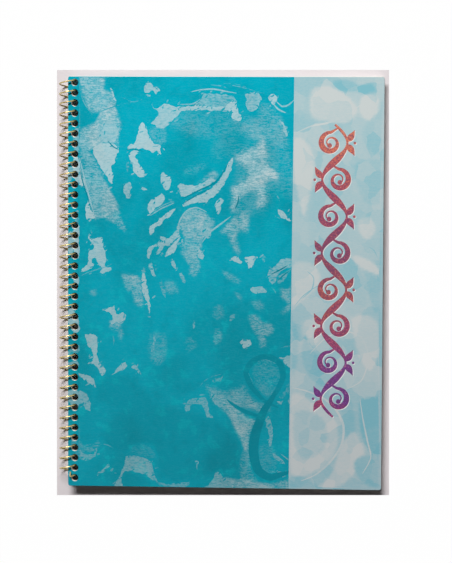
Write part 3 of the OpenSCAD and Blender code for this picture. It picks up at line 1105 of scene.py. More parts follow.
@dataclass(frozen=True)
class RuledPaper(Finish):
    """Uncoated white paper with fine ruled lines, and painted shade that darkens it deep in the punched holes."""

    label: ClassVar[str] = "ruled_paper"
    body: Colour = srgb(229, 227, 220)
    shade: Colour = srgb(219, 216, 208)
    line: Colour = srgb(160, 186, 202)
    # Colour of the painted shade deep in the holes, where light doesn't reach
    hollow: Colour = srgb(62, 50, 38)
    fibres: Speckle = Speckle(900, 4, 0.6, (0.4, 1, 1))
    # The ruled lines
    pitch: float = 7.1
    first_y: float = 100.0
    line_w: float = 0.22
    # The row of holes: from where to where along X, its middle and half length at the top, and its lean
    hole_span: Point = (-92.0, -87.2)
    row_middle: float = 0.55
    row_half: float = 125.3
    lean: float = 0.1963
    top_z: float = 8.20126
    # Painted shade in the holes: how far below the top it begins, where it is darkest, and how dark
    shallow: float = 0.15
    deep: float = 1.3
    darkest: float = 0.94

    def _ruled(self, g: Graph, y: Socket) -> Socket:
        """1 on the lines, which are on the sheets' faces only.

        Args:
            g: The material's nodes.
            y: Place along the sheets' height.

        Returns:
            1 on a line, 0 elsewhere.
        """
        phase = g.math("PINGPONG", g.math("SUBTRACT", y, self.first_y * MM), self.pitch * MM / 2)
        on_line = g.math("LESS_THAN", phase, self.line_w * MM / 2)
        in_text = g.math("LESS_THAN", y, (self.first_y + 1) * MM)
        normal = g.node("NewGeometry").outputs["Normal"]
        flat = g.math("GREATER_THAN", g.math("ABSOLUTE", g.parted(normal)["Z"]), 0.9)
        return g.product(on_line, in_text, flat)

    def _painted_hole_shade(self, g: Graph, spot: bpy.types.bpy_prop_collection) -> Socket:
        """How much painted shade darkens the row of holes here, 0 elsewhere.

        Args:
            g: The material's nodes.
            spot: X, Y and Z of the place.

        Returns:
            The share of the painted shade colour.
        """
        in_row = g.product(g.math("GREATER_THAN", spot["X"], self.hole_span[0] * MM),
                           g.math("LESS_THAN", spot["X"], self.hole_span[1] * MM))
        level = g.math("MULTIPLY_ADD", spot["Z"], self.lean, -(self.top_z * self.lean + self.row_middle) * MM)
        inside = g.math("LESS_THAN", g.math("ABSOLUTE", g.math("ADD", spot["Y"], level)), self.row_half * MM)
        dark = g.span(spot["Z"], (self.top_z - self.shallow) * MM, (self.top_z - self.deep) * MM, 0.0, self.darkest)
        return g.product(in_row, inside, dark)

    def wire(self, g: Graph) -> None:
        """Rules the paper and paints shade into its holes.

        Args:
            g: The material's nodes.
        """
        fibres = g.noise(self.fibres)
        spot = g.parted(g.node("TexCoord").outputs["Object"])
        paper = g.mix(g.span(fibres, 0.4, 0.7), self.body, self.shade)
        faded = g.product(self._ruled(g, spot["Y"]), g.span(fibres, 0.2, 0.6, 0.65, 1.0))
        paper = g.mix(faded, paper, self.line)
        # Painted shade: the holes darken with depth below the top sheet
        g.surface(Base_Color=g.mix(self._painted_hole_shade(g, spot), paper, self.hollow),
                  Roughness=g.span(fibres, 0.2, 0.8, 0.75, 0.9), Specular_IOR_Level=0.2,
                  Normal=g.bump(fibres, 0.3, 0.02))


@dataclass(frozen=True)
class GoldWire(Finish):
    """Bright gold-coloured drawn wire, with faint scratches and duller patches."""

    label: ClassVar[str] = "gold_wire_finish"
    bright: Colour = srgb(196, 178, 124)
    dull: Colour = srgb(150, 131, 84)
    wear: Speckle = Speckle(400, 3, 0.6)
    marks: Speckle = Speckle(2500, 2, 0.6, (1, 3, 1))

    def wire(self, g: Graph) -> None:
        """Wears and scratches the metal.

        Args:
            g: The material's nodes.
        """
        wear, marks = g.noise(self.wear), g.noise(self.marks)
        g.surface(Base_Color=g.mix(g.span(wear, 0.4, 0.7), self.bright, self.dull), Metallic=1.0,
                  Roughness=g.span(marks, 0.3, 0.7, 0.2, 0.36), Normal=g.bump(marks, 0.2, 0.02))


@dataclass(frozen=True)
class ShiftingFoil(Finish):
    """Stamped foil that runs from copper at the head through rose to violet at the foot, finely speckled, with painted
    glints.
    """

    label: ClassVar[str] = "shifting_foil"
    stops: tuple[tuple[float, Colour], ...] = (
        (0.0, srgb(158, 56, 88)),
        (0.07, srgb(100, 44, 122)),
        (0.18, srgb(104, 46, 122)),
        (0.29, srgb(146, 60, 94)),
        (0.41, srgb(158, 76, 70)),
        (0.52, srgb(126, 62, 88)),
        (0.66, srgb(148, 66, 88)),
        (0.80, srgb(168, 76, 80)),
        (0.90, srgb(192, 100, 76)),
        (1.0, srgb(198, 112, 84)),
    )
    speckle: Colour = srgb(84, 50, 84)
    # Colour of the painted glints
    painted_glint: Colour = srgb(216, 150, 130)
    foot_y: float = -86.0
    head_y: float = 100.0
    wander: float = 50.0
    sway: Speckle = Speckle(75)
    specks: Speckle = Speckle(1150, 2, 0.7)

    def wire(self, g: Graph) -> None:
        """Runs the colours along the foil and speckles them.

        Args:
            g: The material's nodes.
        """
        height = g.parted(g.node("TexCoord").outputs["Object"])["Y"]
        run = g.math("ADD", height, g.product(g.math("SUBTRACT", g.noise(self.sway), 0.5), self.wander * MM))
        share = g.node("MapRange", Value=run, From_Min=self.foot_y * MM, From_Max=self.head_y * MM).outputs[0]
        ramp = g.node("ValToRGB", Fac=share)
        points = ramp.color_ramp.elements
        points[0].position, points[0].color = self.stops[0][0], (*self.stops[0][1], 1)
        points[1].position, points[1].color = self.stops[-1][0], (*self.stops[-1][1], 1)
        for place, colour in self.stops[1:-1]:
            points.new(place).color = (*colour, 1)
        speck = g.noise(self.specks)
        colour = g.mix(g.span(speck, 0.44, 0.6, 0.0, 0.7), ramp.outputs[0], self.speckle)
        # Painted glints: specks of lighter copper stand in for the foil's sparkle
        colour = g.mix(g.span(speck, 0.42, 0.3, 0.0, 0.45), colour, self.painted_glint)
        g.surface(Base_Color=colour, Metallic=0.55, Roughness=g.span(speck, 0.3, 0.7, 0.34, 0.5),
                  Normal=g.bump(speck, 0.35, 0.03))


@dataclass(frozen=True)
class PaintedEmbossHighlight(Finish):
    """Painted highlight beside the foil: a pale card-coloured copy of the ornament that stands in for the emboss's
    highlight.
    """

    label: ClassVar[str] = "embossed_rim"
    body: Colour = srgb(226, 228, 226)
    shade: Colour = srgb(206, 212, 212)
    tooth: Speckle = Speckle(1800, 3, 0.6)

    def wire(self, g: Graph) -> None:
        """Gives the card its tooth.

        Args:
            g: The material's nodes.
        """
        tooth = g.noise(self.tooth)
        g.surface(Base_Color=g.mix(g.span(tooth, 0.4, 0.7, 0.0, 0.5), self.body, self.shade),
                  Roughness=0.5, Specular_IOR_Level=0.2, Normal=g.bump(tooth, 0.2, 0.02))


@dataclass(frozen=True)
class TableTop(Finish):
    """Smooth pale table top."""

    label: ClassVar[str] = "table_top"
    body: Colour = srgb(221, 214, 216)
    shade: Colour = srgb(215, 208, 210)
    clouds: Speckle = Speckle(30)

    def wire(self, g: Graph) -> None:
        """Clouds the table a little."""
        share = g.span(g.noise(self.clouds), 0.3, 0.7, 0.0, 0.4)
        g.surface(Base_Color=g.mix(share, self.body, self.shade), Roughness=0.7, Specular_IOR_Level=0.1)


@dataclass(frozen=True)
class WhiteGround(Finish):
    """White ground: its own colour, lifted to white where the camera sees it, so that it keeps shadows."""

    label: ClassVar[str] = "white_ground"
    body: Colour = (0.8, 0.8, 0.8)
    lift: float = 0.985

    def wire(self, g: Graph) -> None:
        """Mixes the ground's colour and plain white.

        Args:
            g: The material's nodes.
        """
        diffuse = g.node("BsdfDiffuse", Color=self.body)
        glow = g.node("Emission", Color=(1, 1, 1), Strength=1.0)
        seen = g.node("LightPath").outputs
        share = g.product(g.math("MAXIMUM", seen["Is Camera Ray"], seen["Is Glossy Ray"]), self.lift)
        both = g.node("MixShader", Fac=share)
        g.feed(both.inputs[1], diffuse.outputs[0])
        g.feed(both.inputs[2], glow.outputs[0])
        g.end("OutputMaterial", both)


@dataclass
class Binding:
    """The punching and the wire that all the leaves share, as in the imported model."""

    axis_x: float = -94.5344
    axis_z: float = 5.75126
    coil_r: float = 5.30126
    pitch: float = 6.29
    holes: int = 40
    hole_d: float = 4.5
    front_first_y: float = 123.082
    lean: float = 0.568213
    wire_lead: float = 2.14071

    @property
    def back_first_y(self) -> float:
        """Centre of the back cover's hole nearest the head."""
        return self.front_first_y + 2 * self.lean

    def row(self, x: float, first_y: float, wider: float, sides: int) -> list[Loop]:
        """Outlines of one leaf's holes.

        Args:
            x: Where the row's centres lie.
            first_y: Centre of the hole nearest the head.
            wider: How much larger each radius is, for a chamfer.
            sides: Straight lengths in each hole.

        Returns:
            One loop for each hole.
        """
        return [ring((x, first_y - i * self.pitch), self.hole_d / 2 + wider, sides) for i in range(self.holes)]


@dataclass(frozen=True)
class Splinters:
    """The small splinters of paint that are strewn along the pale fields."""

    seed: int = 11
    every: float = 2.4
    share: float = 0.42
    bite_share: float = 0.45
    bite_sizes: Point = (0.3, 0.75)
    bite_reach: float = 0.2
    sizes: Point = (0.3, 1.0)
    reaches: Point = (0.8, 3.4)
    lie_deg: Point = (-40, 30)
    lengths: Point = (1.0, 2.6)
    widths: Point = (0.4, 0.9)
    inks: Point = (0.35, 0.9)
    corners: int = 6

    def strewn(self) -> list[tuple[float, Loop]]:
        """Makes the splinters: pale ones outside the fields, teal ones that bite into their edges.

        Returns:
            Ink and outline of each.
        """
        dice = random.Random(self.seed)
        made = []
        for f in PALE:
            for x, y in rounded(pairs(f[1:]), True, self.every):
                if dice.random() > self.share:
                    continue
                bite = dice.random() < self.bite_share
                size = dice.uniform(*(self.bite_sizes if bite else self.sizes))
                reach = self.bite_reach if bite else dice.uniform(*self.reaches)
                away, lie = dice.uniform(0, math.tau), math.radians(dice.gauss(*self.lie_deg))
                x, y = x + reach * math.cos(away), y + reach * math.sin(away)
                loop = []
                for k in range(self.corners):
                    turn = math.tau * k / self.corners
                    along = size * dice.uniform(*self.lengths) * math.cos(turn)
                    across = size * dice.uniform(*self.widths) * math.sin(turn)
                    loop.append((x + along * math.cos(lie) - across * math.sin(lie),
                                 y + along * math.sin(lie) + across * math.cos(lie)))
                made.append((0.0 if bite else f[0] * dice.uniform(*self.inks), loop))
        return made


@dataclass
class Card:
    """A punched card cover with a printed outer face."""

    name: str
    body: str
    node: str
    binding: Binding
    outer_z: float
    first_y: float
    head_margin: float
    downward: bool = False
    spine_x: float = -94.2144
    wide: float = 194.5
    high: float = 254.0
    thick: float = 0.8
    corner: float = 1.2
    chamfer: float = 0.05
    hole_inset: float = 4.15
    hole_sides: int = 32
    score_inset: float = 6.7
    score_w: float = 0.4
    score_depth: float = 0.1
    edge_step: float = 0.8
    edge_grain: float = 2.2
    rough: float = 0.6
    wash_step: float = 3.0
    band_top: float = 139.4
    band_foot: float = 137.4
    banded: bool = True
    mesh_step: float = 1.7
    mesh_inset: float = 0.9
    row_share: float = 0.866
    # Where a field that runs off the card starts, and where it ends across and down
    before: float = -1.0
    beyond: Point = (200.0, 256.0)
    mist_base: float = 0.5
    chips: Splinters = Splinters()

    @property
    def head_y(self) -> float:
        """Where the card ends at the head."""
        return self.first_y + self.head_margin

    def spot(self, u: float, v: float) -> Point:
        """A point of the print, from its distances to the spine edge and the head."""
        return self.spine_x + u, self.head_y - v

    def laid(self, points: Loop) -> Loop:
        """Where the print's points lie on this card."""
        return points

    def beside(self, points: Loop) -> Loop:
        """Where the points of the narrow strip's print lie on this card."""
        return points

    def _edge(self, points: Loop) -> Loop:
        """A field's outline, bent and roughened as wet paint leaves it."""
        return ragged(rounded(points, True, self.edge_step), self.rough, self.edge_grain)

    def crisp(self) -> list[tuple[float, Layer, Loop]]:
        """The fields with sharp edges, the last on top.

        Returns:
            Ink, layer and outline of each.
        """
        strip = self.score_inset - self.score_w / 2
        (right, foot), start = self.beyond, self.before
        drawn = [(f[0], Layer.MARBLED, self._edge(self.laid(pairs(f[1:])))) for f in PALE]
        drawn += [(ink, Layer.MARBLED, self.laid(loop)) for ink, loop in self.chips.strewn()]
        for item in STROKES:
            line = rounded(self.laid(pairs(item[2:])), False, self.edge_step)
            drawn += [(item[0], Layer.MARBLED, quad) for quad in stroke(line, tapered(item[1]))]
        if self.banded:
            band = [(self.band_top, start), (right, start), (right, foot), (self.band_foot, foot)]
            drawn.append((BARE, Layer.VEILED, band))
            for item in BAND_STROKES:
                line = rounded(pairs(item[2:]), False, self.edge_step)
                drawn += [(item[0], Layer.VEILED, quad) for quad in stroke(line, tapered(item[1]))]
        drawn.append((0.0, Layer.MARBLED, [(start, start), (strip, start), (strip, foot), (start, foot)]))
        drawn += [(f[0], Layer.MARBLED, self._edge(self.beside(pairs(f[1:])))) for f in STRIP]
        return drawn

    def tones(self, spots: Sequence[Vector]) -> dict[str, np.ndarray]:
        """Ink of the soft washes at points of the card: "wash" for the marbling, "mist" for the band.

        Args:
            spots: The points, in the frame of the model.

        Returns:
            One value for each point, under each name.
        """
        places = np.array([(p.x - self.spine_x, self.head_y - p.y) for p in spots])
        wash = [(f[0], f[1], rounded(self.laid(pairs(f[2:])), True, self.wash_step))
                for f in (*DARK, *LIFTED, *BRUSHED)]
        mist = [(f[0], f[1], rounded(pairs(f[2:]), True, self.wash_step)) for f in BAND]
        return {"wash": washed(places, wash, 0.0), "mist": washed(places, mist, self.mist_base)}

    def between(self) -> Loop:
        """Loose points all over the card, in rows, for the washes to fade over.

        Returns:
            The points, in the frame of the model.
        """
        step, inset, share = self.mesh_step, self.mesh_inset, self.row_share
        rows, columns = int(self.high / (step * share)), int((self.wide - 2 * inset) / step)
        return [self.spot(inset + (i + r % 2 * 0.5) * step, inset + r * step * share)
                for r in range(rows) for i in range(columns)]

    def build(self, print_finish: bpy.types.Material, core: bpy.types.Material) -> bpy.types.Object:
        """Makes the card, dresses it and puts it on its body in place of its node.

        Args:
            print_finish: Material of the outer face.
            core: Material of the edges and the inner face.

        Returns:
            The finished piece.
        """
        c = self.chamfer
        outline = leaf(self.spine_x + c, self.head_y - self.high + c, self.wide - 2 * c, self.high - 2 * c,
                       self.corner - c)
        holes = self.binding.row(self.spine_x + self.hole_inset, self.first_y, c, self.hole_sides)
        left, right = (self.spine_x + self.score_inset + s * self.score_w / 2 for s in (-1, 1))
        low, top = self.head_y - self.high - 2, self.head_y + 2
        score = [(left, low), (right, low), (right, top), (left, top)]
        drawn = self.crisp()
        cut = Cut([outline, score, *holes, *([self.spot(u, v) for u, v in loop] for _, _, loop in drawn)],
                  self.between()).make()
        first_field = 2 + len(holes)
        kept: dict[int, int] = {}
        for index, owners in enumerate(cut.owners):
            if 0 in owners and not any(2 <= o < first_field for o in owners):
                kept[index] = int(1 in owners)

        def ink(index: int) -> tuple[float, float]:
            """Ink and veil of a triangle: those of the topmost field that it lies in.

            Args:
                index: The triangle.

            Returns:
                Its ink and its veil.
            """
            topmost = max(cut.owners[index]) - first_field
            value, layer, _ = drawn[topmost] if topmost >= 0 else (BARE, Layer.MARBLED, [])
            return value, layer.value

        plate = Plate(cut, kept, self.outer_z, self.thick, c, self.score_depth, self.downward)
        piece = plate.build(self.name, ink, self.tones(cut.spots))
        piece.data.materials.append(print_finish)
        piece.data.materials.append(core)
        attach(piece, self.body)
        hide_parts(self.node)
        return piece


@dataclass
class BackCard(Card):
    """The back cover: the same marbling turned upside down and spread over the whole width, with no band."""

    spread: float = 1.42
    banded: bool = False

    def laid(self, points: Loop) -> Loop:
        """The front's points, upside down and spread."""
        return [(self.score_inset + (u - self.score_inset) * self.spread, self.high - v) for u, v in points]

    def beside(self, points: Loop) -> Loop:
        """The front's strip, upside down."""
        return [(u, self.high - v) for u, v in points]


class Flow:
    """A Geometry Nodes tree with named inputs, which ends in real geometry with a material."""

    def __init__(self, label: str, inputs: dict[str, str]) -> None:
        """Opens the tree.

        Args:
            label: Its name.
            inputs: Name and kind of each input, after the geometry and before the finish.
        """
        self.tree = bpy.data.node_groups.new(label, "GeometryNodeTree")
        sockets = self.tree.interface
        sockets.new_socket("Geometry", in_out="INPUT", socket_type="NodeSocketGeometry")
        for name, kind in {**inputs, "Finish": "Material"}.items():
            sockets.new_socket(name, in_out="INPUT", socket_type="NodeSocket" + kind)
        sockets.new_socket("Geometry", in_out="OUTPUT", socket_type="NodeSocketGeometry")
        self.given = self.tree.nodes.new("NodeGroupInput").outputs

    def node(self, kind: str, links: dict[int | str, Socket], **settings: object) -> bpy.types.Node:
        """Makes a node.

        Args:
            kind: The node's type.
            links: What is linked to its inputs, by their names or numbers.
            settings: Values of its settings.

        Returns:
            The new node.
        """
        made = self.tree.nodes.new(kind)
        for key, value in settings.items():
            setattr(made, key, value)
        for place, socket in links.items():
            self.tree.links.new(socket, made.inputs[place])
        return made

    def end(self, shape: Socket) -> bpy.types.GeometryNodeTree:
        """Makes the shape real, dresses it and ends the tree.

        Args:
            shape: The geometry so far.

        Returns:
            The whole tree.
        """
        real = self.node("GeometryNodeRealizeInstances", {0: shape})
        dress = self.node("GeometryNodeSetMaterial", {"Geometry": real.outputs[0], "Material": self.given["Finish"]})
        self.node("NodeGroupOutput", {0: dress.outputs[0]})
        return self.tree


@dataclass
class Sheets:
    """The block of ruled sheets, each a little lower on the wire than the one under it."""

    binding: Binding
    spine_x: float = -93.7988
    wide: float = 192.784
    high: float = 251.4
    thick: float = 4.9
    corner: float = 1.2
    corner_steps: int = 5
    head_margin: float = 3.05
    hole_inset: float = 4.15
    hole_sides: int = 16
    count: int = 50
    gap: float = 0.008
    jitter: float = 0.05
    seed: int = 7
    name: str = "paper_sheets"

    @property
    def leaf_pitch(self) -> float:
        """Height from one sheet to the next."""
        return self.thick / self.count

    @property
    def slope(self) -> float:
        """How far the sheets lean for each millimetre of height: the drop on the wire over half the block."""
        drop = self.binding.pitch * math.degrees(math.asin(self.thick / 2 / self.binding.coil_r)) / 360
        return drop / (self.thick / 2)

    def _one(self) -> bpy.types.Object:
        """The lowest sheet, as the pattern for all.

        Returns:
            The sheet, which is used up by the stack.
        """
        b = self.binding
        lowest = self.thick / 2 - self.leaf_pitch / 2
        first_y = b.front_first_y + b.lean + self.slope * lowest
        outline = leaf(self.spine_x, first_y + self.head_margin - self.high, self.wide, self.high, self.corner,
                       self.corner_steps)
        holes = b.row(self.spine_x + self.hole_inset, first_y, 0.0, self.hole_sides)
        cut = Cut([outline, *holes]).make()
        kept = {i: 0 for i, owners in enumerate(cut.owners) if 0 in owners and len(owners) == 1}
        outer = b.axis_z - self.thick / 2 + self.leaf_pitch - self.gap / 2
        return Plate(cut, kept, outer, self.leaf_pitch - self.gap, 0.0).build("one_sheet")

    def _tree(self) -> bpy.types.GeometryNodeTree:
        """Node tree that stacks the sheet it is given.

        Returns:
            The tree.
        """
        flow = Flow("stack_of_sheets", {"Sheets": "Int", "Step": "Vector", "Jitter": "Vector", "Seed": "Int"})
        given = flow.given
        line = flow.node("GeometryNodeMeshLine", {"Count": given["Sheets"], "Offset": given["Step"]}, mode="OFFSET")
        flip = flow.node("ShaderNodeVectorMath", {0: given["Jitter"]}, operation="SCALE")
        flip.inputs["Scale"].default_value = -1.0
        shake = flow.node("FunctionNodeRandomValue", {0: flip.outputs[0], 1: given["Jitter"], "Seed": given["Seed"]},
                          data_type="FLOAT_VECTOR")
        shift = flow.node("GeometryNodeSetPosition", {"Geometry": line.outputs[0], "Offset": shake.outputs[0]})
        spread = flow.node("GeometryNodeInstanceOnPoints",
                           {"Points": shift.outputs[0], "Instance": given["Geometry"]})
        return flow.end(spread.outputs[0])

    def build(self, finish: bpy.types.Material) -> bpy.types.Object:
        """Stacks the sheets.

        Args:
            finish: The paper.

        Returns:
            The finished piece.
        """
        one = self._one()
        step = Vector((0, -self.slope * self.leaf_pitch, self.leaf_pitch)) * MM
        piece = evaluated(one, self._tree(), self.name, {
            "Sheets": self.count, "Step": step, "Jitter": Vector((self.jitter, self.jitter, 0)) * MM,
            "Seed": self.seed, "Finish": finish})
        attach(piece, "pages")
        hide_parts("page_block")
        return piece


@dataclass
class SpiralWire:
    """The single wire: a right-handed helix through all the holes, with a bent tail at each end."""

    binding: Binding
    radius: float = 0.45
    steps: int = 32
    sides: int = 12
    first_deg: float = -67.5
    tail_deg: float = 60.0
    tail_length: float = 3.6
    tail_step: float = 0.22
    tail_bend: float = 1.5
    tail_aim: Triple = (0.06, 1, -0.16)
    name: str = "helix_wire"

    def centre(self, angle: float) -> Vector:
        """A point of the wire's centre line, at an angle in degrees counted on over all the turns.

        Args:
            angle: From +X towards +Z.

        Returns:
            The point.
        """
        b = self.binding
        turn = math.radians(angle)
        return Vector((b.axis_x + b.coil_r * math.cos(turn),
                       b.front_first_y + b.wire_lead - b.pitch * angle / 360,
                       b.axis_z + b.coil_r * math.sin(turn)))

    def path(self) -> list[Vector]:
        """The whole centre line, with the tails.

        Returns:
            Its points, from the head to the foot.
        """
        last = (self.binding.holes - 1) * 360 + self.tail_deg
        count = math.ceil((last - self.first_deg) / (360 / self.steps))
        points = [self.centre(self.first_deg + (last - self.first_deg) * k / count) for k in range(count + 1)]
        x, y, z = self.tail_aim
        end = self._tail(points[-2], points[-1], Vector((x, y, z)))
        start = self._tail(points[1], points[0], Vector((x, -y, -z)))
        return start[::-1] + points + end

    def _tail(self, before: Vector, tip: Vector, heading: Vector) -> list[Vector]:
        """A short tail that bends from the wire's end towards a heading.

        Args:
            before: The centre line's last point but one.
            tip: Its last point.
            heading: Where the tail points in the end.

        Returns:
            The tail's points, from the wire outwards.
        """
        run, aim = (tip - before).normalized(), heading.normalized()
        points, spot, length = [], tip.copy(), 0.0
        while length < self.tail_length:
            share = min(1.0, length / self.tail_bend)
            way = run.lerp(aim, share * share * (3 - 2 * share))
            spot = spot + way.normalized() * self.tail_step
            points.append(spot.copy())
            length += self.tail_step
        return points

    def _tree(self) -> bpy.types.GeometryNodeTree:
        """Node tree that sweeps a round section along the line it is given.

        Returns:
            The tree.
        """
        flow = Flow("swept_wire", {"Radius": "Float", "Sides": "Int"})
        given = flow.given
        line = flow.node("GeometryNodeMeshToCurve", {0: given["Geometry"]})
        circle = flow.node("GeometryNodeCurvePrimitiveCircle",
                           {"Resolution": given["Sides"], "Radius": given["Radius"]})
        sweep = flow.node("GeometryNodeCurveToMesh", {"Curve": line.outputs[0], "Profile Curve": circle.outputs[0]})
        sweep.inputs["Fill Caps"].default_value = True
        smooth = flow.node("GeometryNodeSetShadeSmooth", {"Geometry": sweep.outputs[0]})
        return flow.end(smooth.outputs[0])

    def build(self, finish: bpy.types.Material) -> bpy.types.Object:
        """Sweeps the wire.

        Args:
            finish: The metal.

        Returns:
            The finished piece.
        """
        points = [p * MM for p in self.path()]
        mesh = bpy.data.meshes.new("wire_line")
        mesh.from_pydata(points, [(i, i + 1) for i in range(len(points) - 1)], [])
        piece = evaluated(placed("wire_line", mesh), self._tree(), self.name,
                          {"Radius": self.radius * MM, "Sides": self.sides, "Finish": finish})
        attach(piece, "wire")
        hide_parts("spiral_wire")
        return piece


def evaluated(source: bpy.types.Object, tree: bpy.types.GeometryNodeTree, name: str,
              inputs: dict[str, object]) -> bpy.types.Object:
    """Runs a node tree on an object and keeps the result as a plain mesh.

    Args:
        source: The object to run it on, which is deleted afterwards.
        tree: The node tree.
        name: Name of the new object.
        inputs: Values for the tree's named inputs.

    Returns:
        The new object.
    """
    modifier = source.modifiers.new("nodes", "NODES")
    modifier.node_group = tree
    sockets = {s.name: s.identifier for s in tree.interface.items_tree if s.in_out == "INPUT"}
    for label, value in inputs.items():
        modifier[sockets[label]] = value
    bpy.context.view_layer.update()
    depsgraph = bpy.context.evaluated_depsgraph_get()
    mesh = bpy.data.meshes.new_from_object(source.evaluated_get(depsgraph))
    mesh.name = name
    piece = placed(name, mesh)
    source.modifiers.remove(modifier)
    bpy.data.objects.remove(source)
    return piece


@dataclass
class FoilScroll:
    """A plain running scroll stamped in foil on the pale band: one waving stem with curls, leaves and beads."""

    card: Card
    centre_u: float = 164.5
    head_v: float = 29.0
    foot_v: float = 209.0
    waves: int = 4
    sway: float = 7.6
    thick: float = 4.3
    thin: float = 1.3
    wave_steps: int = 40
    curl: float = 6.6
    curl_aside: float = 2.6
    curl_above: float = 9.6
    curl_steps: int = 45
    curl_from_deg: float = -88.0
    curl_turn_deg: float = 520.0
    curl_closes: float = 0.74
    curl_widths: Point = (0.9, 2.6)
    heart: float = 1.5
    leaf_reach: float = 5.2
    leaf_apart: float = 1.5
    leaf_steps: int = 16
    bead: float = 0.85
    bead_out: float = 4.6
    foil_lift: float = 0.03
    # The painted highlight: a pale copy of the ornament just under the foil, shifted towards the fore-edge and the
    # foot
    highlight_lift: float = 0.014
    sunk: float = 0.01
    highlight_shift: Point = (0.42, 0.40)
    name: str = "foil_scroll"

    def _stem(self) -> list[Loop]:
        """The waving stem, thick on its way across and thin at its turns and ends.

        Returns:
            Its pieces.
        """
        count = self.wave_steps * self.waves
        line = [(self.centre_u + self.sway * math.sin(math.tau * self.waves * k / count),
                 self.head_v + (self.foot_v - self.head_v) * k / count) for k in range(count + 1)]
        return stroke(line, lambda t: self.thin + (self.thick - self.thin)
                      * abs(math.cos(math.tau * self.waves * t)) ** 1.6 * min(1, 9 * t, 9 * (1 - t)))

    def _curl(self, v: float, side: int) -> list[Loop]:
        """A spiral that leaves the stem and fills the hollow of its bend, with a bead at its heart.

        Args:
            v: Where the bend is, from the head.
            side: 1 if the stem bends to the fore-edge here, -1 for the spine.

        Returns:
            Its pieces.
        """
        middle = (self.centre_u - side * self.curl_aside, v)
        line = [(self.centre_u + side * self.curl_aside, v - self.curl_above)]
        for k in range(self.curl_steps + 1):
            turn = math.radians(self.curl_from_deg - self.curl_turn_deg * k / self.curl_steps)
            radius = self.curl * (1 - self.curl_closes * k / self.curl_steps)
            line.append((middle[0] + side * radius * math.cos(turn), middle[1] + radius * math.sin(turn)))
        thin, more = self.curl_widths
        parts = stroke(rounded(line, False, 0.8),
                       lambda t: thin + more * math.sin(math.pi * min(1.0, t * 1.15)) ** 1.5)
        parts.append(ring(line[-1], self.heart, 16))
        return parts

    def _leaf(self, v: float, side: int, upward: int) -> list[Loop]:
        """A pointed leaf on the outer side of a bend, bent towards the head or the foot.

        Args:
            v: Where the bend is, from the head.
            side: 1 for the fore-edge, -1 for the spine.
            upward: 1 towards the head, -1 towards the foot.

        Returns:
            Its pieces.
        """
        foot, reach = (self.centre_u + side * (self.sway - 0.8), v - upward * self.leaf_apart), self.leaf_reach
        line = [(foot[0] + side * reach * t, foot[1] - upward * (1.1 * reach * t * t + 0.6 * t)) for t in
                (k / self.leaf_steps for k in range(self.leaf_steps + 1))]
        return stroke(line, lambda t: 0.3 + self.thick * 0.85 * math.sin(math.pi * t ** 0.75) ** 1.3)

    def parts(self) -> list[Loop]:
        """All the pieces of the ornament, before they are made one.

        Returns:
            Their outlines.
        """
        made = self._stem()
        span = (self.foot_v - self.head_v) / self.waves
        for k in range(2 * self.waves):
            v, side = self.head_v + span * (k / 2 + 0.25), 1 - k % 2 * 2
            made += self._curl(v, side)
            made += self._leaf(v, side, 1) + self._leaf(v, side, -1)
            made.append(ring((self.centre_u + side * (self.sway + self.bead_out), v), self.bead, 12))
        return made

    def _layer(self, label: str, lift: float, shift: Point) -> bpy.types.Object:
        """One thin solid of the whole ornament.

        Args:
            label: The object's name.
            lift: How far it stands proud of the card.
            shift: How far it lies aside.

        Returns:
            The new object.
        """
        loops = [[self.card.spot(u + shift[0], v + shift[1]) for u, v in part] for part in self.parts()]
        cut = Cut(loops).make()
        kept = {i: 0 for i, owners in enumerate(cut.owners) if owners}
        return Plate(cut, kept, self.card.outer_z + lift, lift + self.sunk, 0.0).build(label)

    def build(self, foil: bpy.types.Material, rim: bpy.types.Material) -> bpy.types.Object:
        """Makes the ornament in foil over a pale copy, shifted aside, that is a painted highlight.

        Args:
            foil: The foil.
            rim: The pale finish of the painted highlight that shows beside the foil.

        Returns:
            The finished piece.
        """
        piece = self._layer(self.name, self.foil_lift, (0, 0))
        # Painted highlight: the pale copy shows beside the foil as the emboss's highlight
        under = self._layer("rim_layer", self.highlight_lift, self.highlight_shift)
        for target, finish in ((piece, foil), (under, rim)):
            target.data.materials.append(finish)
            target.data.polygons.foreach_set("material_index", [0] * len(target.data.polygons))
        bpy.ops.object.select_all(action="DESELECT")
        under.select_set(True)
        piece.select_set(True)
        bpy.context.view_layer.objects.active = piece
        bpy.ops.object.join()
        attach(piece, self.card.body)
        return piece


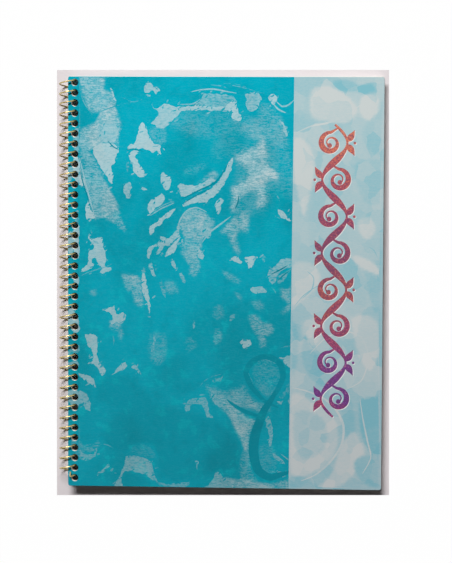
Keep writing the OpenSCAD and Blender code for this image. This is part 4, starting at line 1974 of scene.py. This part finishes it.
@dataclass
class Studio:
    """The pale table, the white ground round it, the lamp and the camera."""

    tilt_deg: float = 0.735
    axis_x: float = -94.5344
    table: tuple[Point, ...] = ((-102.51, -134.9), (105.4, -131.37), (102.95, 131.29), (-102.38, 130.98))
    ground_size: float = 4000.0
    lamp_aim: Triple = (0.0, 0.0, 9.0)
    key_from: Triple = (-0.175, 0.63, 0.74)
    key_distance: float = 3000.0
    key_size: Point = (1900.0, 850.0)
    key_power: float = 112.0
    sky: float = 0.02
    camera_mm: Triple = (87.0, 81.1, 1303.9)
    camera_deg: Triple = (-3.517, 3.69, 0.257)
    lens: float = 134.81
    sensor_high: float = 36.0
    clip_m: Point = (0.01, 20.0)
    ground_drop: float = 0.4

    def _floor(self, name: str, corners: Iterable[Point], drop: float, material: bpy.types.Material) -> None:
        """A flat sheet on the tilted plane that the notebook rests on.

        Args:
            name: The object's name.
            corners: Its corners, seen from above.
            drop: How far it lies under the plane.
            material: Its finish.
        """
        slope = math.tan(math.radians(self.tilt_deg))
        mesh = bpy.data.meshes.new(name)
        spots = [Vector((x, y, (x - self.axis_x) * slope - drop)) * MM for x, y in corners]
        mesh.from_pydata(spots, [], [(0, 1, 2, 3)])
        mesh.materials.append(material)
        sheet = placed(name, mesh)

    def _lamp(self, scene: bpy.types.Scene) -> None:
        """The broad key lamp above the head of the notebook.

        Args:
            scene: The scene that it lights.
        """
        lamp = bpy.data.lights.new("key", "AREA")
        lamp.shape, lamp.energy = "ELLIPSE", self.key_power
        lamp.size, lamp.size_y = (size * MM for size in self.key_size)
        key = bpy.data.objects.new("key", lamp)
        aim = Vector(self.lamp_aim)
        place = aim + Vector(self.key_from).normalized() * self.key_distance
        key.location = place * MM
        key.rotation_euler = (aim - place).to_track_quat("-Z", "Y").to_euler()
        scene.collection.objects.link(key)

    def _sky(self, scene: bpy.types.Scene) -> None:
        """A faint white world, which is plain white where the camera, metal or glass shows it.

        Args:
            scene: The scene that it lies around.
        """
        scene.world = bpy.data.worlds.new("pale_room")
        g = Graph(scene.world)
        seen = g.node("LightPath").outputs
        direct = g.math("MAXIMUM", g.math("MAXIMUM", seen["Is Camera Ray"], seen["Is Glossy Ray"]),
                        seen["Is Transmission Ray"])
        level = g.math("ADD", g.product(direct, 1 - self.sky), self.sky)
        g.end("OutputWorld", g.node("Background", Color=(1, 1, 1), Strength=level))

    def _camera(self, scene: bpy.types.Scene) -> None:
        """The camera, nearly above the notebook.

        Args:
            scene: The scene that it looks at.
        """
        eye = bpy.data.cameras.new("camera")
        eye.lens, eye.sensor_fit, eye.sensor_height = self.lens, "VERTICAL", self.sensor_high
        eye.clip_start, eye.clip_end = self.clip_m
        camera = bpy.data.objects.new("camera", eye)
        camera.location = Vector(self.camera_mm) * MM
        camera.rotation_euler = [math.radians(a) for a in self.camera_deg]
        scene.collection.objects.link(camera)
        scene.camera = camera

    def build(self) -> None:
        """Puts up the table, the lamp, the world and the camera."""
        half = self.ground_size / 2
        self._floor("white_ground", ((-half, -half), (half, -half), (half, half), (-half, half)), self.ground_drop,
                    WhiteGround().make())
        self._floor("table_top", self.table, 0.0, TableTop().make())
        scene = bpy.context.scene
        self._lamp(scene)
        self._sky(scene)
        scene.view_settings.view_transform = "Standard"
        self._camera(scene)


def main() -> None:
    """Builds every piece in order and reports it."""
    logging.basicConfig(level=logging.INFO, format="%(name)s: %(message)s")
    binding = Binding()
    marbled, core = MarbledPrint().make(), PlainCard().make()
    front = Card("printed_front", "front_cover", "front_cover", binding, outer_z=9.00126,
                 first_y=binding.front_first_y, head_margin=3.65)
    back = BackCard("printed_back", "back_cover", "back_cover", binding, outer_z=2.50126,
                    first_y=binding.back_first_y, head_margin=3.05, downward=True)
    built = [
        front.build(marbled, core),
        back.build(marbled, core),
        Sheets(binding).build(RuledPaper().make()),
        SpiralWire(binding).build(GoldWire().make()),
        FoilScroll(front).build(ShiftingFoil().make(), PaintedEmbossHighlight().make()),
    ]
    for piece in built:
        triangles = sum(len(p.vertices) - 2 for p in piece.data.polygons)
        LOG.info("%s: %d triangles", piece.name, triangles)
    Studio().build()


if __name__ == "__main__":
    main()
